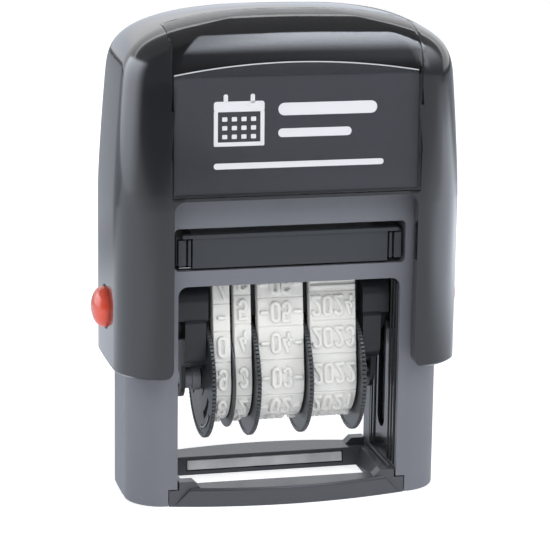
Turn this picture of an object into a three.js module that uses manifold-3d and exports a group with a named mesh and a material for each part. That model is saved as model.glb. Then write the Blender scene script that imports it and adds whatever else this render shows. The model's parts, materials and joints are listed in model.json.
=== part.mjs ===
// Self-inking rotary date stamp, in millimetres. +Z is up, the front faces -Y, the foot rests on Z = 0.
// A gloss hood slides down over a grey base against a coil spring. The date unit hangs from the hood's
// yoke on two pins and flips half a turn on the way down, from the ink pad above to the print opening
// in the foot. Four wheels on one axle move the rubber bands.
import * as THREE from 'three';
import Module from 'manifold-3d';
import { mergeVertices } from 'three/addons/utils/BufferGeometryUtils.js';

const wasm = await Module();
wasm.setup();

// ---- driving dimensions ----
const TRAVEL = 20.8; // how far the hood is pressed
// base
const BASE_HX = 30.3;
const BASE_HY = 11.6;
const BASE_R = 6.5;
const BASE_BULGE = 0.5;
const BASE_TOP = 61.0;
const BASE_TAPER_Z = 54.0; // above this the base draws in, to clear the crown of the pressed hood
const BASE_TAPER = 1.0;
const WINDOW_HX = 21.3;
const WINDOW_TOP = 42.4;
const SLOT_HX = 22.1;
const SLOT_Z0 = 45.4;
const SLOT_Z1 = 53.4;
const WELL_FLOOR = 56.0;
// foot
const FOOT_HX = 22.9;
const FOOT_WING_Z = 3.1;
const FOOT_BAR_Z = 3.5;
const FOOT_TAB_Z = 4.7;
const FOOT_BOW = 2.8;
// hood
const CAP_HX = 33.0;
const CAP_HY = 16.2;
const CAP_R = 8.5;
const CAP_BULGE = 0.5;
const CAP_TOP = 92.85;
const CAP_LEG_Z = 26.0;
const CAP_SKIRT_Z = 59.4;
const CAP_CUT_HX = 23.0;
const CAP_IN_HX = 31.4;
const CAP_IN_HY = 13.4;
// index window
const INDEX_HX = 23.4;
const INDEX_BACK_Y = -4.0;
const INDEX_Z = 60.0;
// date unit
const PIVOT_Z = 33.0;
const PIN_R = 2.0;
const AXLE_Z = 21.8;
const AXLE_R = 1.45;
const BORE_R = 1.75;
const DISC_R = 11.7;
const DRUM_R = 6.0;
const BAND_IN = 6.3;
const BAND_OUT = 8.9;
const PRINT_Z = 45.2;
const PRINT_HY = 5.8;
const NOSE_IN_HY = 3.2;
const PLATE_HY = 6.9; // wide plate of a carrier
const PLATE_Z = 25.2;
const PLATE_R = 3.0;
const TONGUE_X = 18.2; // thin tongue under the plate, round the axle
// lock buttons
const BUTTON_Z = 36.5;
const BUTTON_R = 3.9;
const FLANGE_X = CAP_HX - 2.15; // inner end of a button
const LOCK_X = 28.6; // floor of the hole that it reaches into
// arms of the yoke and black guide panels
const YOKE_X0 = 24.0;
const YOKE_X1 = 27.4;
const GUIDE_X1 = 22.3;

// ---- solid helpers ----
function solid(verts, tris) {
  const props = new Float32Array(verts.flat());
  let made = new wasm.Manifold(
    new wasm.Mesh({ numProp: 3, vertProperties: props, triVerts: new Uint32Array(tris.flat()) })
  );
  if (made.volume() < 0) {
    const turned = tris.map(([a, b, c]) => [a, c, b]);
    made = new wasm.Manifold(
      new wasm.Mesh({ numProp: 3, vertProperties: props, triVerts: new Uint32Array(turned.flat()) })
    );
  }
  return made;
}

// Rings of equal point count joined side by side, closed with a flat cap at each end.
function loft(rings) {
  const n = rings[0].length;
  const verts = rings.flat();
  const tris = [];
  for (let k = 0; k + 1 < rings.length; k++) {
    for (let i = 0; i < n; i++) {
      const j = (i + 1) % n;
      tris.push([k * n + i, k * n + j, (k + 1) * n + j]);
      tris.push([k * n + i, (k + 1) * n + j, (k + 1) * n + i]);
    }
  }
  const last = (rings.length - 1) * n;
  for (const t of capFaces(rings[0], false)) {
    tris.push(t);
  }
  for (const t of capFaces(rings[rings.length - 1], true)) {
    tris.push(t.map((i) => last + i));
  }
  return solid(verts, tris);
}

// Triangles across a ring, wound with it or against it.
function capFaces(points, along) {
  const flat = flatten(points);
  const side = Math.sign(THREE.ShapeUtils.area(flat)) * (along ? 1 : -1);
  const faces = THREE.ShapeUtils.triangulateShape(flat.slice(), []);
  return faces.map(([a, b, c]) => {
    const turn = THREE.ShapeUtils.area([flat[a], flat[b], flat[c]]);
    return turn * side > 0 ? [a, b, c] : [a, c, b];
  });
}

// The ring's points in its own plane, which is square to one axis.
function flatten(ring) {
  const spread = [0, 1, 2].map((a) => {
    const v = ring.map((p) => p[a]);
    return Math.max(...v) - Math.min(...v);
  });
  const flatAxis = spread.indexOf(Math.min(...spread));
  const keep = [0, 1, 2].filter((a) => a !== flatAxis);
  return ring.map((p) => new THREE.Vector2(p[keep[0]], p[keep[1]]));
}

const place = {
  x: (p, q, d) => [d, p, q],
  y: (p, q, d) => [p, d, q],
  z: (p, q, d) => [p, q, d],
};

// An outline pushed along one axis. On x the outline is (y, z), on y it is (x, z), on z it is (x, y).
function prism(axis, outline, from, to) {
  return loft([from, to].map((d) => outline.map(([p, q]) => place[axis](p, q, d))));
}

function box(x0, x1, y0, y1, z0, z1) {
  return prism('z', [[x0, y0], [x1, y0], [x1, y1], [x0, y1]], z0, z1);
}

function circle(r, n, cp = 0, cq = 0, turn = 0) {
  const out = [];
  for (let i = 0; i < n; i++) {
    const a = turn + (2 * Math.PI * i) / n;
    out.push([cp + r * Math.cos(a), cq + r * Math.sin(a)]);
  }
  return out;
}

function rod(x0, x1, y, z, r, n = 24) {
  return prism('x', circle(r, n, y, z), x0, x1);
}

// A rounded rectangle whose two short sides bow out by bulge.
function outline(hx, hy, r, bulge = 0, seg = 6) {
  const out = [];
  const corners = [[1, 1, 0], [-1, 1, 1], [-1, -1, 2], [1, -1, 3]];
  for (const [sx, sy, k] of corners) {
    for (let i = 0; i <= seg; i++) {
      const a = (k + i / seg) * Math.PI / 2;
      const x = sx * (hx - r) + r * Math.cos(a);
      const y = sy * (hy - r) + r * Math.sin(a);
      const side = bulge * (1 - (y / hy) ** 2);
      out.push([x * (1 + (side - bulge) / hx), y]);
    }
    if (k === 0 || k === 2) continue;
    const s = k === 1 ? -1 : 1;
    for (const t of [-0.25, 0, 0.25]) {
      const y = s * t * 2 * (hy - r);
      out.push([s * (hx - bulge * (y / hy) ** 2), y]);
    }
  }
  return out;
}

const union = (...all) => all.reduce((a, b) => a.add(b));
const cut = (from, ...all) => all.reduce((a, b) => a.subtract(b), from);

function mirrorX(made) {
  const m = made.getMesh();
  const verts = [];
  for (let i = 0; i < m.vertProperties.length; i += m.numProp) {
    const p = m.vertProperties;
    verts.push([-p[i], p[i + 1], p[i + 2]]);
  }
  const tris = [];
  for (let i = 0; i < m.triVerts.length; i += 3) {
    tris.push([m.triVerts[i], m.triVerts[i + 2], m.triVerts[i + 1]]);
  }
  return solid(verts, tris);
}

// ---- the object ----
const part = new THREE.Group();
part.name = 'date_stamp';

const GREY = 0x7d818c;
const BLACK = 0x17181b;
const DARK = 0x3c3f45;
const CLEAR = 0xbfd3dc;
const CARD = 0x40434b;
const CREAM = 0xe6e6df;
const DISC = 0x4a4d52;
const RED = 0xe0553f;
const STEEL = 0xa9adb3;
const FELT = 0x2a2c44;

function put(name, made, color, more = {}) {
  const m = made.getMesh();
  const geometry = new THREE.BufferGeometry();
  geometry.setAttribute('position', new THREE.BufferAttribute(new Float32Array(m.vertProperties), 3));
  geometry.setIndex(new THREE.BufferAttribute(new Uint32Array(m.triVerts), 1));
  const clean = mergeVertices(geometry, 1e-4);
  clean.computeVertexNormals();
  const mesh = new THREE.Mesh(clean, new THREE.MeshStandardMaterial({ color, ...more }));
  mesh.name = name;
  mesh.material.name = name;
  part.add(mesh);
}

// ---- base housing: columns, upper block, pad slot, spring well ----
function ring(points, z) {
  return points.map(([x, y]) => [x, y, z]);
}

function baseHousing() {
  const body = loft([
    ring(outline(BASE_HX - 0.4, BASE_HY - 0.4, BASE_R, BASE_BULGE), 0),
    ring(outline(BASE_HX, BASE_HY, BASE_R, BASE_BULGE), 0.5),
    ring(outline(BASE_HX, BASE_HY, BASE_R, BASE_BULGE), BASE_TAPER_Z),
    ring(outline(BASE_HX - BASE_TAPER, BASE_HY, BASE_R, BASE_BULGE), BASE_TOP - 0.6),
    ring(outline(BASE_HX - BASE_TAPER - 0.6, BASE_HY - 0.6, BASE_R, BASE_BULGE), BASE_TOP),
  ]);
  const r = 1.8;
  const arch = [[-WINDOW_HX, -1], [WINDOW_HX, -1]];
  for (const [sx, from] of [[1, 0], [-1, 1]]) {
    for (let i = 0; i <= 4; i++) {
      const a = (from + i / 4) * Math.PI / 2;
      arch.push([sx * (WINDOW_HX - r) + r * Math.cos(a), WINDOW_TOP - r + r * Math.sin(a)]);
    }
  }
  const slotEnds = roundedXZ(SLOT_HX, SLOT_Z0, SLOT_Z1, 1.0);
  return cut(
    body,
    prism('y', arch, -30, 30),
    // seats for the black guide panels, behind the front lips of the columns
    box(-GUIDE_X1 - 0.3, GUIDE_X1 + 0.3, -10.4, 7.4, 4.0, WINDOW_TOP - 0.6),
    // seat for the foot frame
    box(-FOOT_HX - 0.15, FOOT_HX + 0.15, -30, 30, -1, FOOT_WING_Z + 0.2),
    // slot that the pad cartridge slides through, and the way up to the pad
    prism('y', slotEnds, -30, 30),
    box(-20.6, 20.6, -8.8, 8.8, WINDOW_TOP - 2, SLOT_Z0 + 1),
    // channels for the arms of the yoke, open at the top
    box(-YOKE_X1 - 0.4, -YOKE_X0 + 0.4, -4.4, 4.4, 6.6, BASE_TOP + 1),
    box(YOKE_X0 - 0.4, YOKE_X1 + 0.4, -4.4, 4.4, 6.6, BASE_TOP + 1),
    // slots for the pivot pins between the channels and the date space
    slotX(-24.5, -20.0),
    slotX(20.0, 24.5),
    // lock holes behind the buttons
    rod(-40, -LOCK_X, 0, BUTTON_Z, 5.0, 20),
    rod(LOCK_X, 40, 0, BUTTON_Z, 5.0, 20),
    // spring well and the tray around it
    prism('z', circle(7.2, 24), WELL_FLOOR, BASE_TOP + 1),
    cut(
      box(-21.6, 21.6, -9.4, 9.4, 57.4, BASE_TOP + 1),
      prism('z', circle(8.8, 24), 57, BASE_TOP + 2)
    )
  );
}

function roundedXZ(hx, z0, z1, r) {
  const out = [];
  const corners = [[hx - r, z1 - r, 0], [-hx + r, z1 - r, 1], [-hx + r, z0 + r, 2], [hx - r, z0 + r, 3]];
  for (const [cx, cz, k] of corners) {
    for (let i = 0; i <= 3; i++) {
      const a = (k + i / 3) * Math.PI / 2;
      out.push([cx + r * Math.cos(a), cz + r * Math.sin(a)]);
    }
  }
  return out;
}

// Upright slot with round ends for a pivot pin, from the top of its travel to the bottom.
function slotX(x0, x1, spare = 0.4) {
  const r = PIN_R + spare;
  const out = [];
  for (let i = 0; i <= 8; i++) {
    const a = (i / 8) * Math.PI;
    out.push([r * Math.cos(a), PIVOT_Z + r * Math.sin(a)]);
  }
  for (let i = 0; i <= 8; i++) {
    const a = Math.PI + (i / 8) * Math.PI;
    out.push([r * Math.cos(a), PIVOT_Z - TRAVEL + r * Math.sin(a)]);
  }
  return prism('x', out, x0, x1);
}

put('base_housing', baseHousing(), GREY, { roughness: 0.5 });

// ---- black guide panels with upright ribs ----
function sideGuide() {
  const x0 = WINDOW_HX + 0.15;
  const pieces = [box(x0, GUIDE_X1, -10.1, 7.1, 4.3, WINDOW_TOP - 0.9)];
  for (const y of [-9.0, -7.2, -5.4, 4.4, 6.2]) {
    pieces.push(box(x0 - 0.3, x0 + 0.2, y - 0.35, y + 0.35, 4.9, WINDOW_TOP - 1.5));
  }
  return cut(union(...pieces), slotX(20, 23, 0.35));
}
const guide = sideGuide();
put('side_guide_right', guide, BLACK, { roughness: 0.25 });
put('side_guide_left', mirrorX(guide), BLACK, { roughness: 0.25 });

// ---- foot frame: low bars front and back, corner tabs, wings under the columns ----
function bowed(hx, hy, bow, n = 10) {
  const out = [];
  for (const s of [-1, 1]) {
    for (let i = 0; i <= n; i++) {
      const t = -1 + (2 * i) / n;
      const x = -s * t * hx;
      out.push([x, s * (hy + bow * (1 - t * t))]);
    }
  }
  return out;
}

const FOOT_OUT_Y = 11.5;
const TAB_HX = WINDOW_HX - 0.35;
const OPEN_HX = 19.6;
// depth of the opening in front of and behind the middle, at the top of the bars and at the paper;
// the date unit swings in from the front, so that side is wider
const OPEN_FRONT = { top: 8.9, low: 6.6 };
const OPEN_REAR = { top: 7.0, low: 6.3 };

function footFrame() {
  const low = prism('z', bowed(FOOT_HX, FOOT_OUT_Y, FOOT_BOW), 0, FOOT_WING_Z);
  const bars = loft([
    ring(bowed(WINDOW_HX - 0.3, FOOT_OUT_Y - 0.05, FOOT_BOW), FOOT_WING_Z - 0.2),
    ring(bowed(WINDOW_HX - 0.3, FOOT_OUT_Y - 0.05, FOOT_BOW), FOOT_BAR_Z - 0.25),
    ring(bowed(WINDOW_HX - 0.3, FOOT_OUT_Y - 0.4, FOOT_BOW), FOOT_BAR_Z),
  ]);
  const tabs = [];
  for (const sx of [-1, 1]) {
    for (const sy of [-1, 1]) {
      const tab = [[TAB_HX, 2.7], [TAB_HX, FOOT_TAB_Z], [18.2, FOOT_TAB_Z], [16.1, 2.7]];
      tabs.push(prism('y', tab.map(([x, z]) => [sx * x, z]), sy * 9.2, sy * (FOOT_OUT_Y + 0.1)));
    }
  }
  const funnel = loft([
    ring(opening(OPEN_HX - 1.2, OPEN_FRONT.low, OPEN_REAR.low), -0.01),
    ring(opening(OPEN_HX, OPEN_FRONT.top, OPEN_REAR.top), FOOT_BAR_Z + 0.01),
  ]);
  return cut(union(low, bars, ...tabs), funnel, stripSeat(1), stripSeat(-1));
}

function opening(hx, front, rear) {
  return [[-hx, -front], [hx, -front], [hx, rear], [-hx, rear]];
}

// A clear strip let into the sloping inner face, and the seat that it sits in.
function strip(s, z0, z1, hx, inner, outer) {
  const side = s < 0 ? OPEN_FRONT : OPEN_REAR;
  const y = (z, d) => s * (side.low + ((side.top - side.low) * z) / FOOT_BAR_Z + d);
  const profile = [[y(z0, inner), z0], [y(z0, outer), z0], [y(z1, outer), z1], [y(z1, inner), z1]];
  return prism('x', profile, -hx, hx);
}
function stripSeat(s) {
  return strip(s, 0.75, 2.95, 15.8, -0.6, 0.95);
}
put('foot_frame', footFrame(), DARK, { roughness: 0.35 });
for (const [name, s] of [['foot_window_front', -1], ['foot_window_rear', 1]]) {
  put(name, strip(s, 0.95, 2.75, 15.6, 0.05, 0.7), CLEAR, { roughness: 0.1 });
}

// ---- pad cartridge and ink pad ----
const FACE_HX = 18.65;
function padCartridge() {
  const front = 11.4;
  const body = union(
    box(-FACE_HX, FACE_HX, -front, front, 45.8, 52.2),
    box(-21.6, 21.6, -front + 1.2, front - 1.2, 46.1, 51.6),
    box(-21.6, 21.6, -front + 1.2, -9.0, 45.75, 46.3),
    // end clips standing free of the face, each with a thin bar beside it
    box(-21.3, -19.9, -front, -front + 2, 46.3, 51.2),
    box(-19.5, -18.95, -front, -front + 2, 46.3, 51.2),
    box(18.95, 19.5, -front, -front + 2, 46.3, 51.2),
    box(19.9, 21.3, -front, -front + 2, 46.3, 51.2),
    // finger ledge along the top of the face
    box(-FACE_HX, FACE_HX, -front - 0.4, -front + 1, 51.2, 52.2)
  );
  return cut(body, box(-18.0, 18.0, -8.8, 8.8, 45, 49.4), box(-16, 16, -7, 7, 51.2, 53));
}
put('pad_cartridge', padCartridge(), DARK, { roughness: 0.45 });
put('ink_pad', box(-17.7, 17.7, -8.5, 8.5, 45.6, 49.1), FELT, { roughness: 0.95 });

// ---- hood ----
// Height, and how far the side and the front draw in there. The top is crowned both ways.
const HOOD = [
  [CAP_LEG_Z, 0.5, 0.5], [CAP_LEG_Z + 0.5, 0, 0], [60.0, 0, 0], [67.0, 0.35, 0.1],
  [73.0, 0.8, 0.25], [79.0, 1.3, 0.4], [82.2, 1.7, 0.5], [84.5, 2.5, 0.8],
  [86.5, 3.8, 1.4], [88.4, 5.8, 2.6], [89.8, 8.4, 4.2], [91.0, 12.7, 6.5],
  [91.9, 18.2, 9.2], [92.5, 24.2, 12.0], [92.78, 29.2, 14.3], [CAP_TOP, 31.6, 15.5],
].map(([z, inX, inY]) => [z, CAP_HX - inX, CAP_HY - inY]);

function hoodRing(z, hx, hy, inset = 0) {
  const k = Math.min(1, hy / 15.4);
  const r = Math.min(CAP_R, hy - 0.1) * k + (hy - 0.15) * (1 - k);
  return ring(outline(hx - inset, hy - inset, Math.max(r - inset, 0.4), CAP_BULGE * k), z);
}

function hoodAt(inset, zShift, z0, z1 = CAP_TOP) {
  const rows = [];
  for (const [z, hx, hy] of HOOD) {
    if (hx - inset < 0.8 || hy - inset < 0.5) continue;
    rows.push(hoodRing(z - zShift, hx, hy, inset));
  }
  if (z0 !== undefined) {
    rows.unshift(rows[0].map(([x, y]) => [x, y, z0]));
  }
  return loft(rows);
}

function hoodInside() {
  return loft([
    ring(outline(CAP_IN_HX, CAP_IN_HY, 6.5, CAP_BULGE), 10),
    ring(outline(CAP_IN_HX, CAP_IN_HY, 6.5, CAP_BULGE), 66),
    ring(outline(CAP_IN_HX - 0.7, CAP_IN_HY - 0.4, 6.5, CAP_BULGE), 78),
    ring(outline(CAP_IN_HX - 1.8, CAP_IN_HY - 1.2, 6.0, CAP_BULGE), 83.4),
    ring(outline(CAP_IN_HX - 6.0, CAP_IN_HY - 3.2, 5.0, CAP_BULGE), 86.6),
  ]);
}

// Front view of the index window: square foot, arched head, carried back over the top of the hood.
function indexFront(hx, z0) {
  return box(-hx, hx, -30, INDEX_BACK_Y, z0, 100);
}

const HOOD_OUT = hoodAt(0, 0);
const layer = (from, to) => cut(hoodAt(from, from, 20), hoodAt(to, to, 10));

function capShell() {
  const r = 2.0;
  const arch = [[-CAP_CUT_HX, 0], [CAP_CUT_HX, 0]];
  for (const [sx, from] of [[1, 0], [-1, 1]]) {
    for (let i = 0; i <= 4; i++) {
      const a = (from + i / 4) * Math.PI / 2;
      arch.push([sx * (CAP_CUT_HX - r) + r * Math.cos(a), CAP_SKIRT_Z - r + r * Math.sin(a)]);
    }
  }
  const recess = indexFront(INDEX_HX, INDEX_Z).intersect(cut(hoodAt(-3, -3, 20), hoodAt(1.75, 1.75, 10)));
  return cut(
    HOOD_OUT,
    hoodInside(),
    prism('y', arch, -30, 30),
    recess,
    rod(-40, -30, 0, BUTTON_Z, BUTTON_R + 0.25, 24),
    rod(30, 40, 0, BUTTON_Z, BUTTON_R + 0.25, 24),
    rod(-CAP_HX + 0.85, -30, 0, BUTTON_Z, BUTTON_R + 1.0, 24),
    rod(30, CAP_HX - 0.85, 0, BUTTON_Z, BUTTON_R + 1.0, 24)
  );
}
put('cap_shell', capShell(), BLACK, { roughness: 0.15 });

const cover = indexFront(INDEX_HX - 0.2, INDEX_Z + 0.12).intersect(layer(0, 0.95));
put('index_window', cut(cover, box(-40, 40, INDEX_BACK_Y - 0.2, 30, 0, 100)), CLEAR, { roughness: 0.05 });

// Card behind the window, with an arched head.
function cardFront() {
  const out = [[-22.9, 60.5], [22.9, 60.5]];
  for (let i = 0; i <= 8; i++) {
    const x = 22.9 - (45.8 * i) / 8;
    out.push([x, 82.3 + 2.0 * (1 - (x / 22.9) ** 2)]);
  }
  return prism('y', out, -30, -8);
}
put('index_card', cardFront().intersect(layer(1.15, 1.5)), CARD, { roughness: 0.7 });

// ---- yoke inside the hood ----
function capYoke() {
  const z0 = 82.2;
  const z1 = 83.8;
  const arm = union(
    box(YOKE_X0, YOKE_X1, -4.0, 4.0, PIVOT_Z, z1),
    prism('x', circle(4.0, 24, 0, PIVOT_Z), YOKE_X0, YOKE_X1)
  );
  const bored = cut(arm, rod(20, 30, 0, PIVOT_Z, PIN_R + 0.3));
  const bridge = cut(
    box(-YOKE_X1, YOKE_X1, -8.0, 8.0, z0, z1),
    prism('z', circle(7.0, 24), z0 - 1, z1 + 1)
  );
  return union(bridge, bored, mirrorX(bored));
}
put('cap_yoke', capYoke(), DARK, { roughness: 0.5 });

// ---- return spring ----
function spring() {
  const r = 5.6;
  const wire = 0.45;
  const z0 = WELL_FLOOR + 0.15 + wire;
  const z1 = 86.6 - 0.2 - wire;
  const turns = 7;
  const steps = turns * 12;
  const rings = [];
  for (let i = 0; i <= steps; i++) {
    const t = i / steps;
    const a = 2 * Math.PI * turns * t;
    const rise = t < 0.1 ? t * 0.3 : t > 0.9 ? 0.97 + (t - 0.9) * 0.3 : 0.03 + (t - 0.1) * 1.175;
    const z = z0 + (z1 - z0) * rise;
    const row = [];
    for (let k = 0; k < 6; k++) {
      const b = (2 * Math.PI * k) / 6;
      const rad = r + wire * Math.cos(b);
      row.push([rad * Math.cos(a), rad * Math.sin(a), z + wire * Math.sin(b)]);
    }
    rings.push(row);
  }
  return sweep(rings);
}

// Closed sweep: rings joined in order, each end closed by a fan from its first point.
function sweep(rings) {
  const n = rings[0].length;
  const verts = rings.flat();
  const tris = [];
  for (let k = 0; k + 1 < rings.length; k++) {
    for (let i = 0; i < n; i++) {
      const j = (i + 1) % n;
      tris.push([k * n + i, k * n + j, (k + 1) * n + j]);
      tris.push([k * n + i, (k + 1) * n + j, (k + 1) * n + i]);
    }
  }
  const last = (rings.length - 1) * n;
  for (let i = 1; i + 1 < n; i++) {
    tris.push([0, i + 1, i]);
    tris.push([last, last + i, last + i + 1]);
  }
  return solid(verts, tris);
}
put('return_spring', spring(), STEEL, { metalness: 0.9, roughness: 0.3 });

// ---- lock buttons ----
function button() {
  const rows = [[FLANGE_X, BUTTON_R + 0.7], [FLANGE_X + 0.8, BUTTON_R + 0.7], [FLANGE_X + 0.81, BUTTON_R]];
  rows.push([CAP_HX + 0.3, BUTTON_R]);
  for (let i = 1; i <= 5; i++) {
    const a = (i / 5) * Math.PI * 0.48;
    rows.push([CAP_HX + 0.3 + 2.3 * Math.sin(a), BUTTON_R * Math.cos(a)]);
  }
  return loft(rows.map(([x, r]) => circle(r, 24, 0, BUTTON_Z).map(([y, z]) => [x, y, z])));
}
const knob = button();
put('button_right', knob, RED, { roughness: 0.3 });
put('button_left', mirrorX(knob), RED, { roughness: 0.3 });

// ---- date unit ----
// Outline of a band: round the drum, up the leaning front and back runs, over the nose.
function bandOutline(drumR, noseHy, noseZ, noseR, seg = 10) {
  const dz = noseZ - noseR - AXLE_Z;
  const dy = noseHy - noseR;
  const dist = Math.hypot(dy, dz);
  const lean = Math.atan2(dy, dz);
  const off = Math.acos((drumR - noseR) / dist);
  // angle of the outward normal of the front run, measured from up
  const normal = lean + off;
  const out = [];
  const corner = 3;
  for (let i = 0; i <= corner; i++) {
    const a = (normal * i) / corner;
    out.push([dy + noseR * Math.sin(a), noseZ - noseR + noseR * Math.cos(a)]);
  }
  for (let i = 0; i <= seg; i++) {
    const a = normal + ((2 * Math.PI - 2 * normal) * i) / seg;
    out.push([drumR * Math.sin(a), AXLE_Z + drumR * Math.cos(a)]);
  }
  for (let i = 0; i <= corner; i++) {
    const a = -normal * (1 - i / corner);
    out.push([-dy + noseR * Math.sin(a), noseZ - noseR + noseR * Math.cos(a)]);
  }
  return out;
}

function band(x0, x1) {
  const outer = bandOutline(BAND_OUT, PRINT_HY, PRINT_Z, 1.0, 16);
  const inner = bandOutline(BAND_IN, NOSE_IN_HY, PRINT_Z - 2.6, 1.0, 16);
  return cut(prism('x', outer, x0, x1), prism('x', inner, x0 - 1, x1 + 1));
}

function wheel(disc0, disc1, drum0, drum1) {
  const made = union(rod(disc0, disc1, 0, AXLE_Z, DISC_R, 48), rod(drum0, drum1, 0, AXLE_Z, DRUM_R, 24));
  return cut(made, rod(-30, 30, 0, AXLE_Z, BORE_R, 16));
}

const ROW = [
  ['day_tens', -13.65, -10.3, -14.7, -13.9, -14.0, -10.3],
  ['day_units', -9.6, -6.25, -6.05, -5.25, -9.6, -6.0],
  ['month', -5.0, 3.9, 4.1, 4.9, -5.05, 4.2],
  ['year', 5.1, 14.15, 14.4, 15.2, 5.1, 14.5],
];
for (const [name, b0, b1, d0, d1, m0, m1] of ROW) {
  put('band_' + name, band(b0, b1), CREAM, { roughness: 0.6 });
  put('wheel_' + name, wheel(d0, d1, m0, m1), DISC, { roughness: 0.4 });
}
put('band_divider', cut(rod(-10.15, -9.75, 0, AXLE_Z, 9.9, 32), rod(-20, 20, 0, AXLE_Z, BORE_R, 16)), DISC);
put('wheel_axle', rod(-18.8, 18.8, 0, AXLE_Z, AXLE_R, 20), STEEL, { metalness: 1, roughness: 0.3 });

// A stepped hub on the axle, between a wheel and the tongue of a carrier.
function hub(x0) {
  const made = union(rod(x0, x0 + 1.6, 0, AXLE_Z, 2.5, 20), rod(x0, TONGUE_X - 0.3, 0, AXLE_Z, 2.1, 20));
  return cut(made, rod(-30, 30, 0, AXLE_Z, BORE_R, 16));
}
put('axle_collar_left', mirrorX(hub(14.95)), GREY);
put('axle_collar_right', hub(15.45), GREY);

// The platen stands between the carriers, inside the bands.
put('platen', prism('x', [[-3.0, 34.0], [3.0, 34.0], [2.9, 41.9], [2.5, 42.3], [-2.5, 42.3], [-2.9, 41.9]],
  -14.2, 15.3), DARK);

// A carrier: rounded head block, wide plate below it, tongue down to the axle, pin out to the yoke.
function carrier(headX, plateX) {
  const head = [[-6.2, 34.4], [6.2, 34.4], [6.2, 37.6]];
  for (const from of [0, 1]) {
    for (let i = 1; i <= 5; i++) {
      const a = ((from + i / 5) * Math.PI) / 2;
      head.push([(from ? -2.6 : 2.6) + 3.6 * Math.cos(a), 37.8 + 3.6 * Math.sin(a)]);
    }
  }
  const plate = [[PLATE_HY - 0.6, 34.6], [-PLATE_HY + 0.6, 34.6], [-PLATE_HY, 34.0]];
  for (const from of [2, 3]) {
    for (let i = 0; i <= 4; i++) {
      const a = ((from + i / 4) * Math.PI) / 2;
      const y = (PLATE_HY - PLATE_R) * (from === 2 ? -1 : 1) + PLATE_R * Math.cos(a);
      plate.push([y, PLATE_Z + PLATE_R + PLATE_R * Math.sin(a)]);
    }
  }
  plate.push([PLATE_HY, 34.0]);
  const tongue = [[3.4, 26.0], [-3.4, 26.0]];
  for (let i = 0; i <= 6; i++) {
    const a = Math.PI + (i / 6) * Math.PI;
    tongue.push([3.4 * Math.cos(a), AXLE_Z - 0.2 + 3.4 * Math.sin(a)]);
  }
  return cut(
    union(
      prism('x', head, headX, 20.7),
      prism('x', plate, plateX, TONGUE_X + 0.8),
      prism('x', tongue, TONGUE_X, TONGUE_X + 0.8),
      prism('x', circle(3.6, 20, 0, PIVOT_Z), plateX, 20.7),
      rod(20, 26.7, 0, PIVOT_Z, PIN_R, 24)
    ),
    rod(TONGUE_X - 1, TONGUE_X + 2, 0, AXLE_Z, BORE_R, 16)
  );
}
put('carrier_right', carrier(15.55, 15.5), BLACK, { roughness: 0.3 });
put('carrier_left', mirrorX(carrier(14.45, 15.0)), BLACK, { roughness: 0.3 });

export default part;
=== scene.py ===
import json
import math

import bmesh
import bpy
from mathutils import Matrix, Vector


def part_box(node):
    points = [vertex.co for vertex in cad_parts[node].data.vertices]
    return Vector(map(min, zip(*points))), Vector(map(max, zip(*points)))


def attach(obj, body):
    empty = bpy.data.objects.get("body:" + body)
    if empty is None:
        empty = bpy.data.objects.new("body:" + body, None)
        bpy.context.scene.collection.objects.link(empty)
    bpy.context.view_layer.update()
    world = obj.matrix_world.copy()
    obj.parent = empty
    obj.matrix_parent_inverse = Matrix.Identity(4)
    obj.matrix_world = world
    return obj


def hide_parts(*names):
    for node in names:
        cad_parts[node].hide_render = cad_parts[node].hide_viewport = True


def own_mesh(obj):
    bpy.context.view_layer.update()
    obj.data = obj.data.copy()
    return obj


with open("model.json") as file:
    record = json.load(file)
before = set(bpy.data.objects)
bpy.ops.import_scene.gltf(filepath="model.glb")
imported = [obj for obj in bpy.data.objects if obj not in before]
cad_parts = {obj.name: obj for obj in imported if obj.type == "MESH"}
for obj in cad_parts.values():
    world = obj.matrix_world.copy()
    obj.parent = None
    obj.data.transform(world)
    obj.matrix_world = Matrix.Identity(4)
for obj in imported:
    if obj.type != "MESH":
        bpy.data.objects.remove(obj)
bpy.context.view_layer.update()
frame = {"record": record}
MM = 0.001


def span(node):
    """Lowest and highest corner of a CAD node, in millimetres."""
    lo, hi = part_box(node)
    return lo / MM, hi / MM


# ---------------------------------------------------------------- mesh helpers
def linked(name, data):
    """An object of the given data, linked to the scene."""
    obj = bpy.data.objects.new(name, data)
    bpy.context.scene.collection.objects.link(obj)
    return obj


def new_object(name, verts, faces):
    """An object from points in millimetres and faces."""
    mesh = bpy.data.meshes.new(name)
    mesh.from_pydata([Vector(v) * MM for v in verts], [], faces)
    mesh.validate()
    return linked(name, mesh)


def object_from(name, bm):
    """An object from a bmesh in millimetres."""
    bmesh.ops.recalc_face_normals(bm, faces=bm.faces)
    bm.transform(Matrix.Scale(MM, 4))
    mesh = bpy.data.meshes.new(name)
    bm.to_mesh(mesh)
    bm.free()
    return linked(name, mesh)


def bake_modifiers(obj):
    bpy.context.view_layer.update()
    evaluated = obj.evaluated_get(bpy.context.evaluated_depsgraph_get())
    mesh = bpy.data.meshes.new_from_object(evaluated)
    obj.modifiers.clear()
    obj.data = mesh
    return obj


def boolean(obj, operation, *others):
    """Joins or cuts obj with the others, which are used up."""
    for other in others:
        modifier = obj.modifiers.new("boolean", "BOOLEAN")
        modifier.operation = operation
        modifier.solver = "EXACT"
        modifier.object = other
        bake_modifiers(obj)
        bpy.data.objects.remove(other)
    return obj


def cut(obj, *others):
    return boolean(obj, "DIFFERENCE", *others)


def union(obj, *others):
    return boolean(obj, "UNION", *others)


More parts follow.
